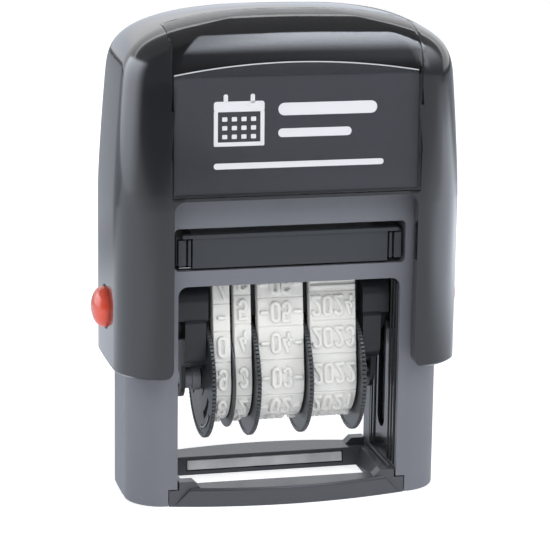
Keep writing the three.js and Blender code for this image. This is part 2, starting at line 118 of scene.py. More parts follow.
def soften(obj, width=0.25, segments=2, angle=32, sharp=50, flatten=True):
    """Rounds the hard edges and shades the piece smooth."""
    if flatten:
        bm = bmesh.new()
        bm.from_mesh(obj.data)
        bmesh.ops.remove_doubles(bm, verts=bm.verts, dist=1e-6)
        bmesh.ops.dissolve_limit(bm, angle_limit=math.radians(0.6), verts=bm.verts, edges=bm.edges)
        bm.to_mesh(obj.data)
        bm.free()
    if width:
        modifier = obj.modifiers.new("bevel", "BEVEL")
        modifier.width = width * MM
        modifier.segments = segments
        modifier.limit_method = "ANGLE"
        modifier.angle_limit = math.radians(angle)
        modifier.use_clamp_overlap = True
        bake_modifiers(obj)
    smooth(obj, sharp)
    return obj


def smooth(obj, sharp=50, weighted=True):
    for polygon in obj.data.polygons:
        polygon.use_smooth = True
    obj.data.set_sharp_from_angle(angle=math.radians(sharp))
    if weighted:
        modifier = obj.modifiers.new("normals", "WEIGHTED_NORMAL")
        modifier.keep_sharp = True
        modifier.weight = 80
    return obj


def face_outward(obj):
    """Turns every face to the outside of its body."""
    bm = bmesh.new()
    bm.from_mesh(obj.data)
    bmesh.ops.recalc_face_normals(bm, faces=bm.faces)
    bm.to_mesh(obj.data)
    bm.free()
    return obj


def loft(name, rings, closed=False):
    """Rings of equal point count joined side by side; the ends are filled unless the rings close up."""
    n = len(rings[0])
    verts = [p for ring in rings for p in ring]
    faces = []
    last = len(rings) if closed else len(rings) - 1
    for k in range(last):
        a, b = k * n, ((k + 1) % len(rings)) * n
        for i in range(n):
            j = (i + 1) % n
            faces.append((a + i, a + j, b + j, b + i))
    if not closed:
        faces.append(tuple(range(n))[::-1])
        faces.append(tuple(range((len(rings) - 1) * n, len(rings) * n)))
    return face_outward(new_object(name, verts, faces))


PLACE = {
    "x": lambda p, q, d: (d, p, q),
    "y": lambda p, q, d: (p, d, q),
    "z": lambda p, q, d: (p, q, d),
}


def prism(axis, outline, start, end):
    """An outline pushed along one axis. On x it is (y, z), on y it is (x, z), on z it is (x, y)."""
    return loft("prism", [[PLACE[axis](p, q, d) for p, q in outline] for d in (start, end)])


def box(x0, x1, y0, y1, z0, z1):
    return prism("z", [(x0, y0), (x1, y0), (x1, y1), (x0, y1)], z0, z1)


def oval_arc(cp, cq, rp, rq, start, end, steps=10):
    """Points of an oval's arc in degrees, both ends included."""
    angles = [math.radians(start + (end - start) * i / steps) for i in range(steps + 1)]
    return [(cp + rp * math.cos(a), cq + rq * math.sin(a)) for a in angles]


def arc(cp, cq, r, start, end, steps):
    return oval_arc(cp, cq, r, r, start, end, steps)


def circle(cp, cq, r, steps=48):
    return arc(cp, cq, r, 0, 360 * (1 - 1 / steps), steps - 1)


def rod(x0, x1, y, z, r, steps=48):
    return prism("x", circle(y, z, r, steps), x0, x1)


def rounded_rect(p0, p1, q0, q1, r, steps=6):
    corners = [(p1 - r, q1 - r, 0), (p0 + r, q1 - r, 90), (p0 + r, q0 + r, 180), (p1 - r, q0 + r, 270)]
    return [p for cp, cq, a in corners for p in arc(cp, cq, r, a, a + 90, steps)]


def lathe_x(profile, z):
    """A closed solid turned about an axis along X. The profile is (x, radius) and ends near the axis."""
    return loft("lathe", [[(x, r * math.cos(a), z + r * math.sin(a)) for a in turn(64)] for x, r in profile])


def turn(steps):
    return [2 * math.pi * i / steps for i in range(steps)]


def outline(hx, hy, r, bulge, corner, side):
    """A rounded rectangle whose short sides bow out by bulge, counter-clockwise from the right side."""
    points = []
    for cx, cy, a in ((1, 1, 0), (-1, 1, 90), (-1, -1, 180), (1, -1, 270)):
        points += arc(cx * (hx - r), cy * (hy - r), r, a, a + 90, corner)
        if cx != cy:
            points += [(cx * hx, cx * (hy - r) * (2 * i / side - 1)) for i in range(1, side)]
    return [(x * (1 - bulge * (y / hy) ** 2 / hx), y) for x, y in points]


def pair(side, near, far):
    """Two distances from the middle as coordinates on one side of it, the lower first."""
    return sorted((side * near, side * far))


def place_piece(obj, name, body, slot, material, *nodes):
    obj.name = name
    obj.data.name = name
    obj.data.materials.clear()
    obj.data.materials.append(material)
    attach(obj, body)
    if nodes:
        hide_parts(*nodes)
    return obj


# ---------------------------------------------------------------- materials
class Nodes:
    """Short ways to add nodes to a shader tree; a value is a number or another node's output."""

    def __init__(self, tree):
        self.nodes, self.links = tree.nodes, tree.links

    def feed(self, value, socket):
        if isinstance(value, (int, float)):
            socket.default_value = value
        else:
            self.links.new(value, socket)

    def math(self, operation, *values):
        node = self.nodes.new("ShaderNodeMath")
        node.operation = operation
        for socket, value in zip(node.inputs, values):
            self.feed(value, socket)
        return node.outputs[0]

    def ramp(self, value, start, end, low=0.0, high=1.0, shape="SMOOTHSTEP"):
        node = self.nodes.new("ShaderNodeMapRange")
        node.interpolation_type = shape
        for socket, number in (("From Min", start), ("From Max", end), ("To Min", low), ("To Max", high)):
            node.inputs[socket].default_value = number
        self.feed(value, node.inputs["Value"])
        return node.outputs["Result"]

    def see_through(self, share, surface):
        """A surface that shows by its share and lets the rest straight through."""
        mix = self.nodes.new("ShaderNodeMixShader")
        self.feed(share, mix.inputs["Fac"])
        self.feed(self.nodes.new("ShaderNodeBsdfTransparent").outputs[0], mix.inputs[1])
        self.feed(surface, mix.inputs[2])
        return mix.outputs[0]


def new_material(name):
    made = bpy.data.materials.new(name)
    made.use_nodes = True
    return made


def material(name, colour, roughness, **more):
    """Moulded surface: slow colour drift, uneven gloss and fine grain, all in object space."""
    made = new_material(name)
    tree = made.node_tree
    shader = tree.nodes["Principled BSDF"]
    for socket, value in {
        "Metallic": more.get("metal", 0.0),
        "Coat Weight": more.get("coat", 0.0),
        "Coat Roughness": 0.05,
        "Specular IOR Level": more.get("specular", 0.5),
        "Subsurface Weight": more.get("subsurface", 0.0),
        "Subsurface Scale": 0.0015,
        "Sheen Weight": more.get("sheen", 0.0),
        "IOR": 1.5,
    }.items():
        shader.inputs[socket].default_value = value
    shader.inputs["Subsurface Radius"].default_value = (1.0, 0.9, 0.75)

    coordinates = tree.nodes.new("ShaderNodeTexCoord")

    def noise(scale, detail):
        node = tree.nodes.new("ShaderNodeTexNoise")
        node.inputs["Scale"].default_value = scale
        node.inputs["Detail"].default_value = detail
        tree.links.new(coordinates.outputs["Object"], node.inputs["Vector"])
        return node.outputs["Fac"]

    drift = more.get("drift", 0.06)
    ramp = tree.nodes.new("ShaderNodeMix")
    ramp.data_type = "RGBA"
    ramp.inputs["A"].default_value = (*[c * (1 - drift) for c in colour], 1)
    ramp.inputs["B"].default_value = (*[min(1, c * (1 + drift)) for c in colour], 1)
    tree.links.new(noise(more.get("drift_scale", 90), 3), ramp.inputs["Factor"])
    tree.links.new(ramp.outputs["Result"], shader.inputs["Base Color"])

    gloss = tree.nodes.new("ShaderNodeMapRange")
    swing = more.get("gloss_swing", 0.15)
    gloss.inputs["To Min"].default_value = roughness * (1 - swing)
    gloss.inputs["To Max"].default_value = roughness * (1 + swing)
    tree.links.new(noise(400, 4), gloss.inputs["Value"])
    tree.links.new(gloss.outputs["Result"], shader.inputs["Roughness"])

    if more.get("grain"):
        bump = tree.nodes.new("ShaderNodeBump")
        bump.inputs["Strength"].default_value = more["grain"]
        bump.inputs["Distance"].default_value = 0.00005
        tree.links.new(noise(more.get("grain_scale", 4000), 2), bump.inputs["Height"])
        tree.links.new(bump.outputs["Normal"], shader.inputs["Normal"])
    return made


def clear_plastic(name, roughness, ior):
    """A thin clear sheet: it mirrors by its angle on the side it faces and lets the rest straight through."""
    made = new_material(name)
    nodes = made.node_tree.nodes
    add = Nodes(made.node_tree)
    shader = nodes["Principled BSDF"]
    shader.inputs["Metallic"].default_value = 1.0
    shader.inputs["Base Color"].default_value = (1, 1, 1, 1)
    shader.inputs["Roughness"].default_value = roughness
    fresnel = nodes.new("ShaderNodeFresnel")
    fresnel.inputs["IOR"].default_value = ior
    front = add.math("SUBTRACT", 1.0, nodes.new("ShaderNodeNewGeometry").outputs["Backfacing"])
    share = add.math("MULTIPLY", fresnel.outputs["Fac"], front)
    add.feed(add.see_through(share, shader.outputs[0]), nodes["Material Output"].inputs["Surface"])
    return made


GLOSS_BLACK = material("gloss_black", (0.016, 0.017, 0.019), 0.16, coat=0.6, drift=0.1, gloss_swing=0.2)
GREY = material("satin_grey", (0.15, 0.158, 0.183), 0.42, grain=0.25, grain_scale=5000)
DARK = material("dark_grey", (0.036, 0.04, 0.047), 0.38, grain=0.2, grain_scale=5000)
FOOT = material("foot_grey", (0.065, 0.068, 0.078), 0.24, grain=0.1, grain_scale=4500)
GUIDE = material("guide_black", (0.012, 0.012, 0.014), 0.16, grain=0.06)
CARRIER = material("carrier_black", (0.02, 0.021, 0.024), 0.3, grain=0.15)
DISC = material("disc_grey", (0.06, 0.064, 0.07), 0.36, grain=0.2, grain_scale=5000)
HUB = material("hub_grey", (0.26, 0.27, 0.3), 0.4, grain=0.2)
RUBBER = material(
    "band_rubber", (0.78, 0.78, 0.76), 0.5, subsurface=0.1, grain=0.25, grain_scale=3000, drift=0.03)
CARD = material(
    "card_print", (0.015, 0.017, 0.023), 0.6, grain=0.6, grain_scale=2600, drift=0.12, drift_scale=1500)
BACKING = material("card_backing", (0.012, 0.012, 0.014), 0.9, specular=0.0)
CLEAR = clear_plastic("clear_plastic", 0.05, 1.62)
# Painted reflection: a pale grey with strong uneven drift stands in for the light that the clear foot strips
# mirror; the strips have no such colour of their own.
STRIP_PAINTED_REFLECTION = material("strip_painted_reflection", (0.52, 0.53, 0.55), 0.3, drift=0.6, drift_scale=150)
INK = material("card_ink", (0.7, 0.71, 0.74), 0.6, grain=0.3, grain_scale=3000, drift=0.03)
BUTTON = material("button_red", (0.72, 0.085, 0.045), 0.22, coat=0.4, subsurface=0.15, grain=0.05, drift=0.05)
FELT = material("pad_felt", (0.02, 0.02, 0.035), 0.95, sheen=0.4, grain=1.0, grain_scale=2500, drift=0.25)
STEEL = material("spring_steel", (0.55, 0.55, 0.56), 0.25, metal=1.0, drift=0.05)


# ---------------------------------------------------------------- hood
LEG_Z, CAP_TOP = [corner.z for corner in span("cap_shell")]
CORNER_R = 8.5
SIDE_BULGE = 0.5
SKIRT_Z = 59.4
CUT_HX = 23.0
CUT_R = 2.0
WINDOW_LIP_Z = 60.0
RECESS_HX = 23.4
RECESS_BACK_Y = -4.0
RECESS_DEPTH = 1.75
SIDE_WALL = 1.5
FRONT_WALL = 2.7
BUTTON_LO, BUTTON_HI = span("button_right")
BUTTON_Z = (BUTTON_LO.z + BUTTON_HI.z) / 2

HOOD_HX, HOOD_HY = 33.0, 16.2
SIDE_LEAN, FRONT_LEAN = 1.3, 0.4
LEAN_FROM, LEAN_RUN = 58.0, 21.0
CROWN_Z = 79.0
LEAN_POWER = 1.3
LEG_EDGE = 0.4
LEG_ROUND = 2.0
LEVEL_COUNT, LEVEL_SPAN = 17, 51
CROWN_STEPS = 40
# How squarely the crown rises and draws in.
CROWN_UP, CROWN_IN = 2 / 3.4, 2 / 2.4
CORNER_STEPS, SIDE_STEPS = 18, 8


def lean(z):
    return (max(0.0, z - LEAN_FROM) / LEAN_RUN) ** LEAN_POWER


def half_sizes(z, share=1.0):
    """Half width and half depth at a height; share is the crown's size against the walls below it."""
    edge = LEG_EDGE * max(0.0, 1 - (z - LEG_Z) / LEG_EDGE)
    return (HOOD_HX - SIDE_LEAN * lean(z) - edge) * share, (HOOD_HY - FRONT_LEAN * lean(z) - edge) * share


def crown_level(turned):
    """The height and the size share of the crown, turned from 0 at its foot to 90 degrees at its top."""
    a = math.radians(turned)
    return CROWN_Z + (CAP_TOP - CROWN_Z) * math.sin(a) ** CROWN_UP, math.cos(a) ** CROWN_IN


def hood_profile():
    """(height, half width, half depth, size share) from the feet of the legs to just under the top."""
    heights = [LEG_Z, LEG_Z + LEG_EDGE]
    heights += [LEG_Z + LEG_ROUND + LEVEL_SPAN * i / LEVEL_COUNT for i in range(LEVEL_COUNT + 1)]
    rows = [(z, *half_sizes(z), 1.0) for z in heights]
    for i in range(1, CROWN_STEPS):
        z, share = crown_level(90 * i / CROWN_STEPS)
        rows.append((z, *half_sizes(z, share), share))
    return sorted(rows)


LEVELS = hood_profile()
STRAIGHT = 25.2
# Stations across the straight front; the outermost pair marks where the corners start.
FRONT_X = sorted({s * x for s in (-1, 1) for x in (STRAIGHT, RECESS_HX, CUT_HX, *range(0, 22, 3))})


def hood_ring(z, hx, hy, share):
    """Points round the hood at one height, from the front left, drawn in towards an oval on the crown."""
    r = CORNER_R * share
    bulge = SIDE_BULGE * share
    hx -= bulge
    run = hx - r
    shrink = min(1.0, run / (RECESS_HX + 0.2))

    def station(x):
        return math.copysign(run, x) if abs(x) == STRAIGHT else x * shrink

    points = [(station(x), -hy) for x in FRONT_X]
    points += arc(hx - r, -hy + r, r, -90, 0, CORNER_STEPS)[1:]
    points += [(hx, (hy - r) * (2 * i / SIDE_STEPS - 1)) for i in range(1, SIDE_STEPS)]
    points += arc(hx - r, hy - r, r, 0, 90, CORNER_STEPS)
    points += [(-station(x), hy) for x in FRONT_X[1:]]
    points += arc(-hx + r, hy - r, r, 90, 180, CORNER_STEPS)[1:]
    points += [(-hx, (hy - r) * (1 - 2 * i / SIDE_STEPS)) for i in range(1, SIDE_STEPS)]
    points += arc(-hx + r, -hy + r, r, 180, 270, CORNER_STEPS)[:-1]
    ring = []
    for x, y in points:
        away = math.hypot(x / hx, y / hy)
        pull = 1 + (1 - share) ** 1.5 * (1 / away - 1)
        ring.append(((x + math.copysign(bulge * (1 - (y / hy) ** 2), x)) * pull, y * pull, z))
    return ring


def hood_levels(*exact):
    """The levels, with the given heights put in exactly."""
    rows = list(LEVELS)
    for z in exact:
        below = max((r for r in rows if r[0] <= z), key=lambda r: r[0])
        above = min((r for r in rows if r[0] > z), key=lambda r: r[0])
        rows = [r for r in rows if abs(r[0] - z) > 0.3 or r[0] in exact or r[0] == LEG_Z]
        t = (z - below[0]) / (above[0] - below[0])
        rows.append(tuple(b + (a - b) * t for a, b in zip(above, below)))
    return sorted(set(rows))


def hood_skin(*exact):
    """The outside of the hood as an open sheet in a bmesh, in millimetres."""
    bm = bmesh.new()
    rings = [[bm.verts.new(p) for p in hood_ring(*level)] for level in hood_levels(*exact)]
    n = len(rings[0])
    for low, high in zip(rings, rings[1:]):
        for i in range(n):
            j = (i + 1) % n
            bm.faces.new((low[i], low[j], high[j], high[i]))
    crown = bm.verts.new((0, 0, CAP_TOP))
    for i in range(n):
        bm.faces.new((rings[-1][i], rings[-1][(i + 1) % n], crown))
    bm.normal_update()
    return bm


def once(items):
    """Each item once, in the order met, which a set of mesh elements would change from run to run."""
    return list(dict.fromkeys(items))


def slice_plane(bm, point, normal, keep):
    """Splits the faces whose middle passes the test along a plane."""
    faces = [f for f in bm.faces if keep(f.calc_center_median())]
    geometry = once(v for f in faces for v in f.verts) + once(e for f in faces for e in f.edges) + faces
    bmesh.ops.bisect_plane(bm, geom=geometry, plane_co=point, plane_no=normal, dist=0.004)


def chords(centre_x, centre_z, r, start, end, steps=5):
    """Planes through the chords of an arc in the front view, as (point, normal)."""
    points = arc(centre_x, centre_z, r, start, end, steps)
    planes = []
    for (x0, z0), (x1, z1) in zip(points, points[1:]):
        planes.append((Vector((x0, 0, z0)), Vector((z1 - z0, 0, x0 - x1)).normalized()))
    return planes


def round_corner(bm, sx, cx, cz, start, r, drop):
    """Cuts the corner of a sheet along an arc and drops the side of it that the test names."""
    planes = chords(sx * cx, cz, r, *((start, start + 90) if sx > 0 else (180 - start, 90 - start)))
    reach = r + 0.3
    turned = math.radians(start + 45)
    mid = Vector((sx * (cx + math.cos(turned) * r * 0.72), 0, cz + math.sin(turned) * r * 0.72))

    def near(c):
        return abs(c.x - mid.x) < reach * 0.75 and abs(c.z - mid.z) < reach * 0.75

    for point, normal in planes:
        slice_plane(bm, point, normal, near)
    centre = Vector((sx * cx, 0, cz))
    gone = []
    for face in bm.faces:
        c = face.calc_center_median()
        quarter = (c.x - centre.x) * sx * math.cos(turned) > 0 and (c.z - cz) * math.sin(turned) > 0
        outside = Vector((c.x - centre.x, 0, c.z - cz)).length > r * 0.985
        if drop == "outside":
            wanted = outside and max(abs(c.x - centre.x), abs(c.z - centre.z)) < r + 0.01
        else:
            wanted = not outside
        if near(c) and quarter and wanted:
            gone.append(face)
    bmesh.ops.delete(bm, geom=gone, context="FACES")


def drop_faces(bm, test):
    gone = [f for f in bm.faces if test(f.calc_center_median())]
    bmesh.ops.delete(bm, geom=gone, context="FACES")


def keep_window(c):
    return abs(c.x) < RECESS_HX and c.y < RECESS_BACK_Y and c.z > WINDOW_LIP_Z


def normals_of(bm):
    bm.normal_update()
    return {v: v.normal.copy() for v in bm.verts}


def add_inside(bm, normals, depth):
    """Closes a sheet into a shell by adding its inner side; depth gives the wall for a normal."""
    outer = list(bm.faces)
    inner = {v: bm.verts.new(v.co - normal * depth(normal)) for v, normal in normals.items()}
    rim = [e for e in bm.edges if len(e.link_faces) == 1]
    for face in outer:
        bm.faces.new([inner[v] for v in reversed(face.verts)])
    for edge in rim:
        a, b = edge.verts
        bm.faces.new((a, b, inner[b], inner[a]))


def build_hood():
    bm = hood_skin(SKIRT_Z, SKIRT_Z - CUT_R, WINDOW_LIP_Z, LEG_Z + LEG_ROUND)
    for s in (-1, 1):
        slice_plane(bm, (s * RECESS_HX, 0, 0), (1, 0, 0), lambda c: c.z > 80 and c.y < 0)
    slice_plane(bm, (0, RECESS_BACK_Y, 0), (0, 1, 0), lambda c: c.z > 80 and abs(c.x) < RECESS_HX + 0.2)
    leg_x = CUT_HX + LEG_ROUND
    for s in (-1, 1):
        slice_plane(bm, (s * leg_x, 0, 0), (1, 0, 0), lambda c: c.z < LEG_Z + LEG_ROUND + 0.2)
    # the cut-out, round at its upper corners and at the feet of the legs
    drop_faces(bm, lambda c: abs(c.x) < CUT_HX - CUT_R and c.z < SKIRT_Z)
    drop_faces(bm, lambda c: abs(c.x) < CUT_HX and c.z < SKIRT_Z - CUT_R)
    for s in (-1, 1):
        round_corner(bm, s, CUT_HX - CUT_R, SKIRT_Z - CUT_R, 0, CUT_R, "inside")
        round_corner(bm, s, leg_x, LEG_Z + LEG_ROUND, 180, LEG_ROUND, "outside")
    # window recess: its faces sink by the depth, and walls join them to the rim
    normals = normals_of(bm)
    window = [f for f in bm.faces if keep_window(f.calc_center_median())]
    edges = once(e for f in window for e in f.edges)
    walls_from = [e for e in edges if sum(f in window for f in e.link_faces) == 1]
    sunk = {v: bm.verts.new(v.co - normals[v] * RECESS_DEPTH) for v in once(v for f in window for v in f.verts)}
    floor = [[sunk[v] for v in f.verts] for f in window]
    add_inside(bm, normals, wall_depth)
    bmesh.ops.delete(bm, geom=window, context="FACES_ONLY")
    for face in floor:
        bm.faces.new(face)
    for edge in walls_from:
        a, b = edge.verts
        bm.faces.new((a, b, sunk[b], sunk[a]))
    loose = [e for e in bm.edges if not e.link_faces]
    bmesh.ops.delete(bm, geom=loose, context="EDGES")
    bmesh.ops.delete(bm, geom=[v for v in bm.verts if not v.link_faces], context="VERTS")
    obj = object_from("hood", bm)
    soften(obj, 0.22, 2, 55, 50, flatten=False)
    obj.modifiers.clear()
    holes = []
    for s in (-1, 1):
        r = (BUTTON_HI.y - BUTTON_LO.y) / 2 - 0.45
        profile = [(30.0, r), (HOOD_HX - 0.35, r), (HOOD_HX - 0.15, r + 0.12), (HOOD_HX + 0.5, r + 0.5)]
        holes.append(lathe_x([(s * x, rr) for x, rr in profile], BUTTON_Z))
    cut(obj, *holes)
    smooth(obj, 40)
    return place_piece(obj, "hood", "cap", "hood_black", GLOSS_BLACK, "cap_shell")


def wall_depth(normal):
    return SIDE_WALL + (FRONT_WALL - SIDE_WALL) * normal.y**2 + 1.2 * max(0, normal.z)


def window_sheet(name, gap, sunk, depth):
    """A sheet that follows the hood inside the window recess, from sunk below the surface and depth thick."""
    bm = hood_skin(WINDOW_LIP_Z + gap)
    half = RECESS_HX - gap
    back = RECESS_BACK_Y - gap
    for s in (-1, 1):
        slice_plane(bm, (s * half, 0, 0), (1, 0, 0), lambda c: c.z > 58 and c.y < 0)
    slice_plane(bm, (0, back, 0), (0, 1, 0), lambda c: c.z > 80 and abs(c.x) < half + 0.3)
    drop_faces(bm, lambda c: not (abs(c.x) < half and c.y < back and c.z > WINDOW_LIP_Z + gap))
    bmesh.ops.delete(bm, geom=[v for v in bm.verts if not v.link_faces], context="VERTS")
    bm.normal_update()
    inward = [(v, v.normal * sunk) for v in bm.verts]
    for v, step in inward:
        v.co -= step
    add_inside(bm, normals_of(bm), lambda normal: depth)
    return object_from(name, bm)


def build_window():
    """The clear cover, flush with the hood, and the dark backing under it."""
    cover = window_sheet("hood_window", 0.12, 0.0, 0.9)
    soften(cover, 0.1, 2, 55, 50, flatten=False)
    place_piece(cover, "hood_window", "cap", "index_clear", CLEAR, "index_window")
    backing = smooth(window_sheet("backing", 0.2, 1.56, 0.12), 50)
    place_piece(backing, "index_card_backing", "cap", "index_card", BACKING)


CARD_LOW = span("index_card")[0].z
CARD_HX = 22.9
CARD_HEAD = 82.3
CARD_RISE = 2.0
CARD_DEPTH = 1.15
# Section of the bead along the card's head, as (back, up).
EDGE_SECTION = ((0, -0.12), (0, 0.04), (0.3, 0.04), (0.3, -0.12))


def front_y(z, inset):
    """Y of the hood's front at a height, moved inward by inset."""
    below = max((p for p in LEVELS if p[0] <= z), key=lambda p: p[0])
    above = min((p for p in LEVELS if p[0] > z), key=lambda p: p[0])
    slope = (above[2] - below[2]) / (above[0] - below[0])
    return -(below[2] + slope * (z - below[0])) + inset * math.sqrt(1 + slope * slope)


def head_z(x):
    return CARD_HEAD + CARD_RISE * (1 - (x / CARD_HX) ** 2)


def build_card():
    columns, rows = 24, 28
    xs = [CARD_HX * (2 * i / columns - 1) for i in range(columns + 1)]
    rings = []
    for x in xs:
        zs = [CARD_LOW + (head_z(x) - CARD_LOW) * j / rows for j in range(rows + 1)]
        front = [(x, front_y(z, CARD_DEPTH), z) for z in zs]
        rear = [(x, front_y(z, CARD_DEPTH + 0.35), z) for z in reversed(zs)]
        rings.append(front + rear)
    card = smooth(loft("card", rings), 40)
    place_piece(card, "index_card_sheet", "cap", "index_card", CARD, "index_card")
    # pale edge of the paper along the arched head
    edge_rings = []
    for x in xs:
        z = head_z(x)
        y = front_y(z, CARD_DEPTH - 0.04)
        edge_rings.append([(x, y + back, z + rise) for back, rise in EDGE_SECTION])
    edge = smooth(loft("card_edge", edge_rings), 40)
    place_piece(edge, "index_card_edge", "cap", "index_card", INK)


def decal(shapes, name):
    """Thin raised print on the card: each shape is an outline in the front view."""
    verts, faces = [], []
    for shape in shapes:
        n, base = len(shape), len(verts)
        for depth in (CARD_DEPTH - 0.045, CARD_DEPTH + 0.02):
            verts += [(x, front_y(z, depth), z) for x, z in shape]
        faces.append(tuple(range(base, base + n)))
        faces.append(tuple(range(base + n, base + 2 * n))[::-1])
        faces += [(base + i, base + n + i, base + n + (i + 1) % n, base + (i + 1) % n) for i in range(n)]
    return face_outward(new_object(name, verts, faces))


def build_print():
    """A plain calendar pictogram and three plain bars, in place of a label's wording."""
    left, right, low, high = -15.6, -6.2, 69.2, 77.4
    line = 0.75
    shapes = [
        rounded_rect(left, right, high - 1.9, high, 0.5),
        rounded_rect(left, left + line, low, high - 1.7, 0.2),
        rounded_rect(right - line, right, low, high - 1.7, 0.2),
        rounded_rect(left, right, low, low + line, 0.2),
    ]
    for x in (left + 2.2, right - 2.2):
        shapes.append(rounded_rect(x - 0.4, x + 0.4, high - 0.4, high + 1.3, 0.3))
    for row in range(3):
        for column in range(4):
            x = left + 1.55 + column * 1.78
            z = low + 1.35 + row * 1.6
            shapes.append(rounded_rect(x, x + 0.95, z, z + 0.8, 0.15))
    for x0, x1, z0, z1 in ((-3.6, 15.0, 74.6, 76.9), (-3.6, 10.2, 70.6, 72.2), (-15.6, 16.4, 65.0, 66.1)):
        shapes.append(rounded_rect(x0, x1, z0, z1, (z1 - z0) / 2 - 0.02))
    place_piece(decal(shapes, "print"), "index_card_print", "cap", "index_card", INK)


build_hood()
build_window()
build_card()
build_print()


# ---------------------------------------------------------------- buttons and their locks
def build_button(side, name):
    r = (BUTTON_HI.y - BUTTON_LO.y) / 2 - 0.7
    flange = r + 0.7
    out = BUTTON_HI.x
    foot, neck = BUTTON_LO.x + 0.05, HOOD_HX + 0.3
    profile = [(foot, 0.2), (foot, flange), (foot + 0.5, flange), (foot + 0.5, r), (neck, r)]
    turns = [math.pi / 2 * i / 14 for i in range(1, 14)]
    profile += [(neck + (out - neck) * math.sin(a), r * math.cos(a)) for a in turns]
    profile.append((out, 0.05))
    knob = lathe_x([(side * x, q) for x, q in profile], BUTTON_Z)
    smooth(knob, 60)
    place_piece(knob, name + "_cap", name, "button_red", BUTTON, name)


build_button(1, "button_right")
build_button(-1, "button_left")


# ---------------------------------------------------------------- base housing
BASE_HX, BASE_HY, BASE_TOP = span("base_housing")[1]
BASE_R = 6.5
BASE_BULGE = 0.5
TAPER_Z = 54.0
WINDOW_HX = 21.3
GUIDE_X1 = 22.3
WINDOW_TOP = 42.4
SLOT_HX, SLOT_Z0, SLOT_Z1 = 22.1, 45.4, 53.4
FOOT_HX, _, FOOT_TAB_Z = span("foot_frame")[1]
FOOT_WING_Z = 3.1
PIVOT_Z = 33.0
TRAVEL = 20.8
PIN_SLOT_R = 2.4
YOKE_IN, YOKE_OUT = 24.0, 27.4
LOCK_X = 28.6


def base_ring(z, inset, narrow=0.0):
    shape = outline(BASE_HX - inset - narrow, BASE_HY - inset, BASE_R, BASE_BULGE, 16, 8)
    return [(x, y, z) for x, y in shape]


def pin_slot(x0, x1, r=PIN_SLOT_R):
    """The slot in which a pivot pin of the date unit travels."""
    shape = arc(0, PIVOT_Z, r, 0, 180, 16) + arc(0, PIVOT_Z - TRAVEL, r, 180, 360, 16)
    return prism("x", shape, x0, x1)


def build_base():
    body = loft("base", [
        base_ring(0, 0.3), base_ring(0.12, 0.12), base_ring(0.4, 0.0), base_ring(TAPER_Z, 0.0),
        base_ring(BASE_TOP - 0.6, 0.0, 1.0), base_ring(BASE_TOP, 0.6, 1.0),
    ])
    r = 1.8
    arch = [(-WINDOW_HX, -1), (WINDOW_HX, -1)]
    arch += arc(WINDOW_HX - r, WINDOW_TOP - r, r, 0, 90, 8)
    arch += arc(-WINDOW_HX + r, WINDOW_TOP - r, r, 90, 180, 8)
    side = GUIDE_X1 + 0.3
    cut(
        body,
        prism("y", arch, -30, 30),
        box(-side, side, -10.4, 7.4, 4.0, WINDOW_TOP - 0.6),
        box(-FOOT_HX - 0.15, FOOT_HX + 0.15, -30, 30, -1, FOOT_WING_Z + 0.2),
        prism("y", rounded_rect(-SLOT_HX, SLOT_HX, SLOT_Z0, SLOT_Z1, 0.9), -30, 30),
        box(-20.6, 20.6, -8.8, 8.8, WINDOW_TOP - 2, SLOT_Z0 + 1),
        *[box(*pair(s, YOKE_IN - 0.4, YOKE_OUT + 0.4), -4.4, 4.4, 6.6, BASE_TOP + 1) for s in (-1, 1)],
        *[pin_slot(*pair(s, 20.0, 24.5)) for s in (-1, 1)],
        *[rod(*pair(s, LOCK_X, 40), 0, BUTTON_Z, 5.0) for s in (-1, 1)],
        prism("z", circle(0, 0, 7.2), 56.0, BASE_TOP + 1),
    )
    soften(body, 0.2, 2, 32, 40)
    place_piece(body, "base_body", "base", "grey_plastic", GREY, "base_housing")


def build_guide(side):
    x0, x1 = WINDOW_HX + 0.15, GUIDE_X1
    top = WINDOW_TOP - 0.9
    panel = box(*pair(side, x0, x1), -10.1, 7.1, 4.3, top)
    ribs = []
    for y in (-9.0, -7.2, -5.4, 4.4, 6.2):
        ribs.append(box(*pair(side, x0 - 0.28, x0 + 0.2), y - 0.35, y + 0.35, 4.9, top - 0.6))
    union(panel, *ribs)
    cut(panel, pin_slot(*pair(side, 20, 23), PIN_SLOT_R - 0.05))
    soften(panel, 0.1, 2, 32, 40)
    name = "side_guide_" + ("right" if side > 0 else "left")
    place_piece(panel, name + "_panel", "base", "black_guide", GUIDE, name)


build_base()
build_guide(1)
build_guide(-1)


# ---------------------------------------------------------------- foot
FOOT_BAR_Z = 3.5
FOOT_BOW = 2.8
FOOT_OUT_Y = 11.5
OPEN_HX = 19.6
# Depth of the opening at the top of the bars and at the paper, in front of and behind the middle.
OPEN_FRONT, OPEN_REAR = (8.9, 6.6), (7.0, 6.3)


def open_y(s, z):
    top, low = OPEN_FRONT if s < 0 else OPEN_REAR
    return s * (low + (top - low) * z / FOOT_BAR_Z)


def bowed(hx, hy, steps=24):
    points = []
    for s in (-1, 1):
        for i in range(steps + 1):
            t = 2 * i / steps - 1
            points.append((-s * t * hx, s * (hy + FOOT_BOW * (1 - t * t))))
    return points


def at_height(points, z):
    return [(x, y, z) for x, y in points]


def opening_at(hx, z):
    return [(sx * hx, open_y(sy, z), z) for sx, sy in ((-1, -1), (1, -1), (1, 1), (-1, 1))]


def strip(s, z0, z1, hx, front, back):
    """A strip along the sloping inner face of a bar."""
    corners = ((z0, front), (z0, back), (z1, back), (z1, front))
    return prism("x", [(open_y(s, z) + s * d, z) for z, d in corners], -hx, hx)


def corner_prisms(shape, near, far):
    """The same (x, z) outline pushed along y in each of the four corners."""
    corners = [(sx, sy) for sx in (-1, 1) for sy in (-1, 1)]
    return [prism("y", [(sx * x, z) for x, z in shape], *pair(sy, near, far)) for sx, sy in corners]


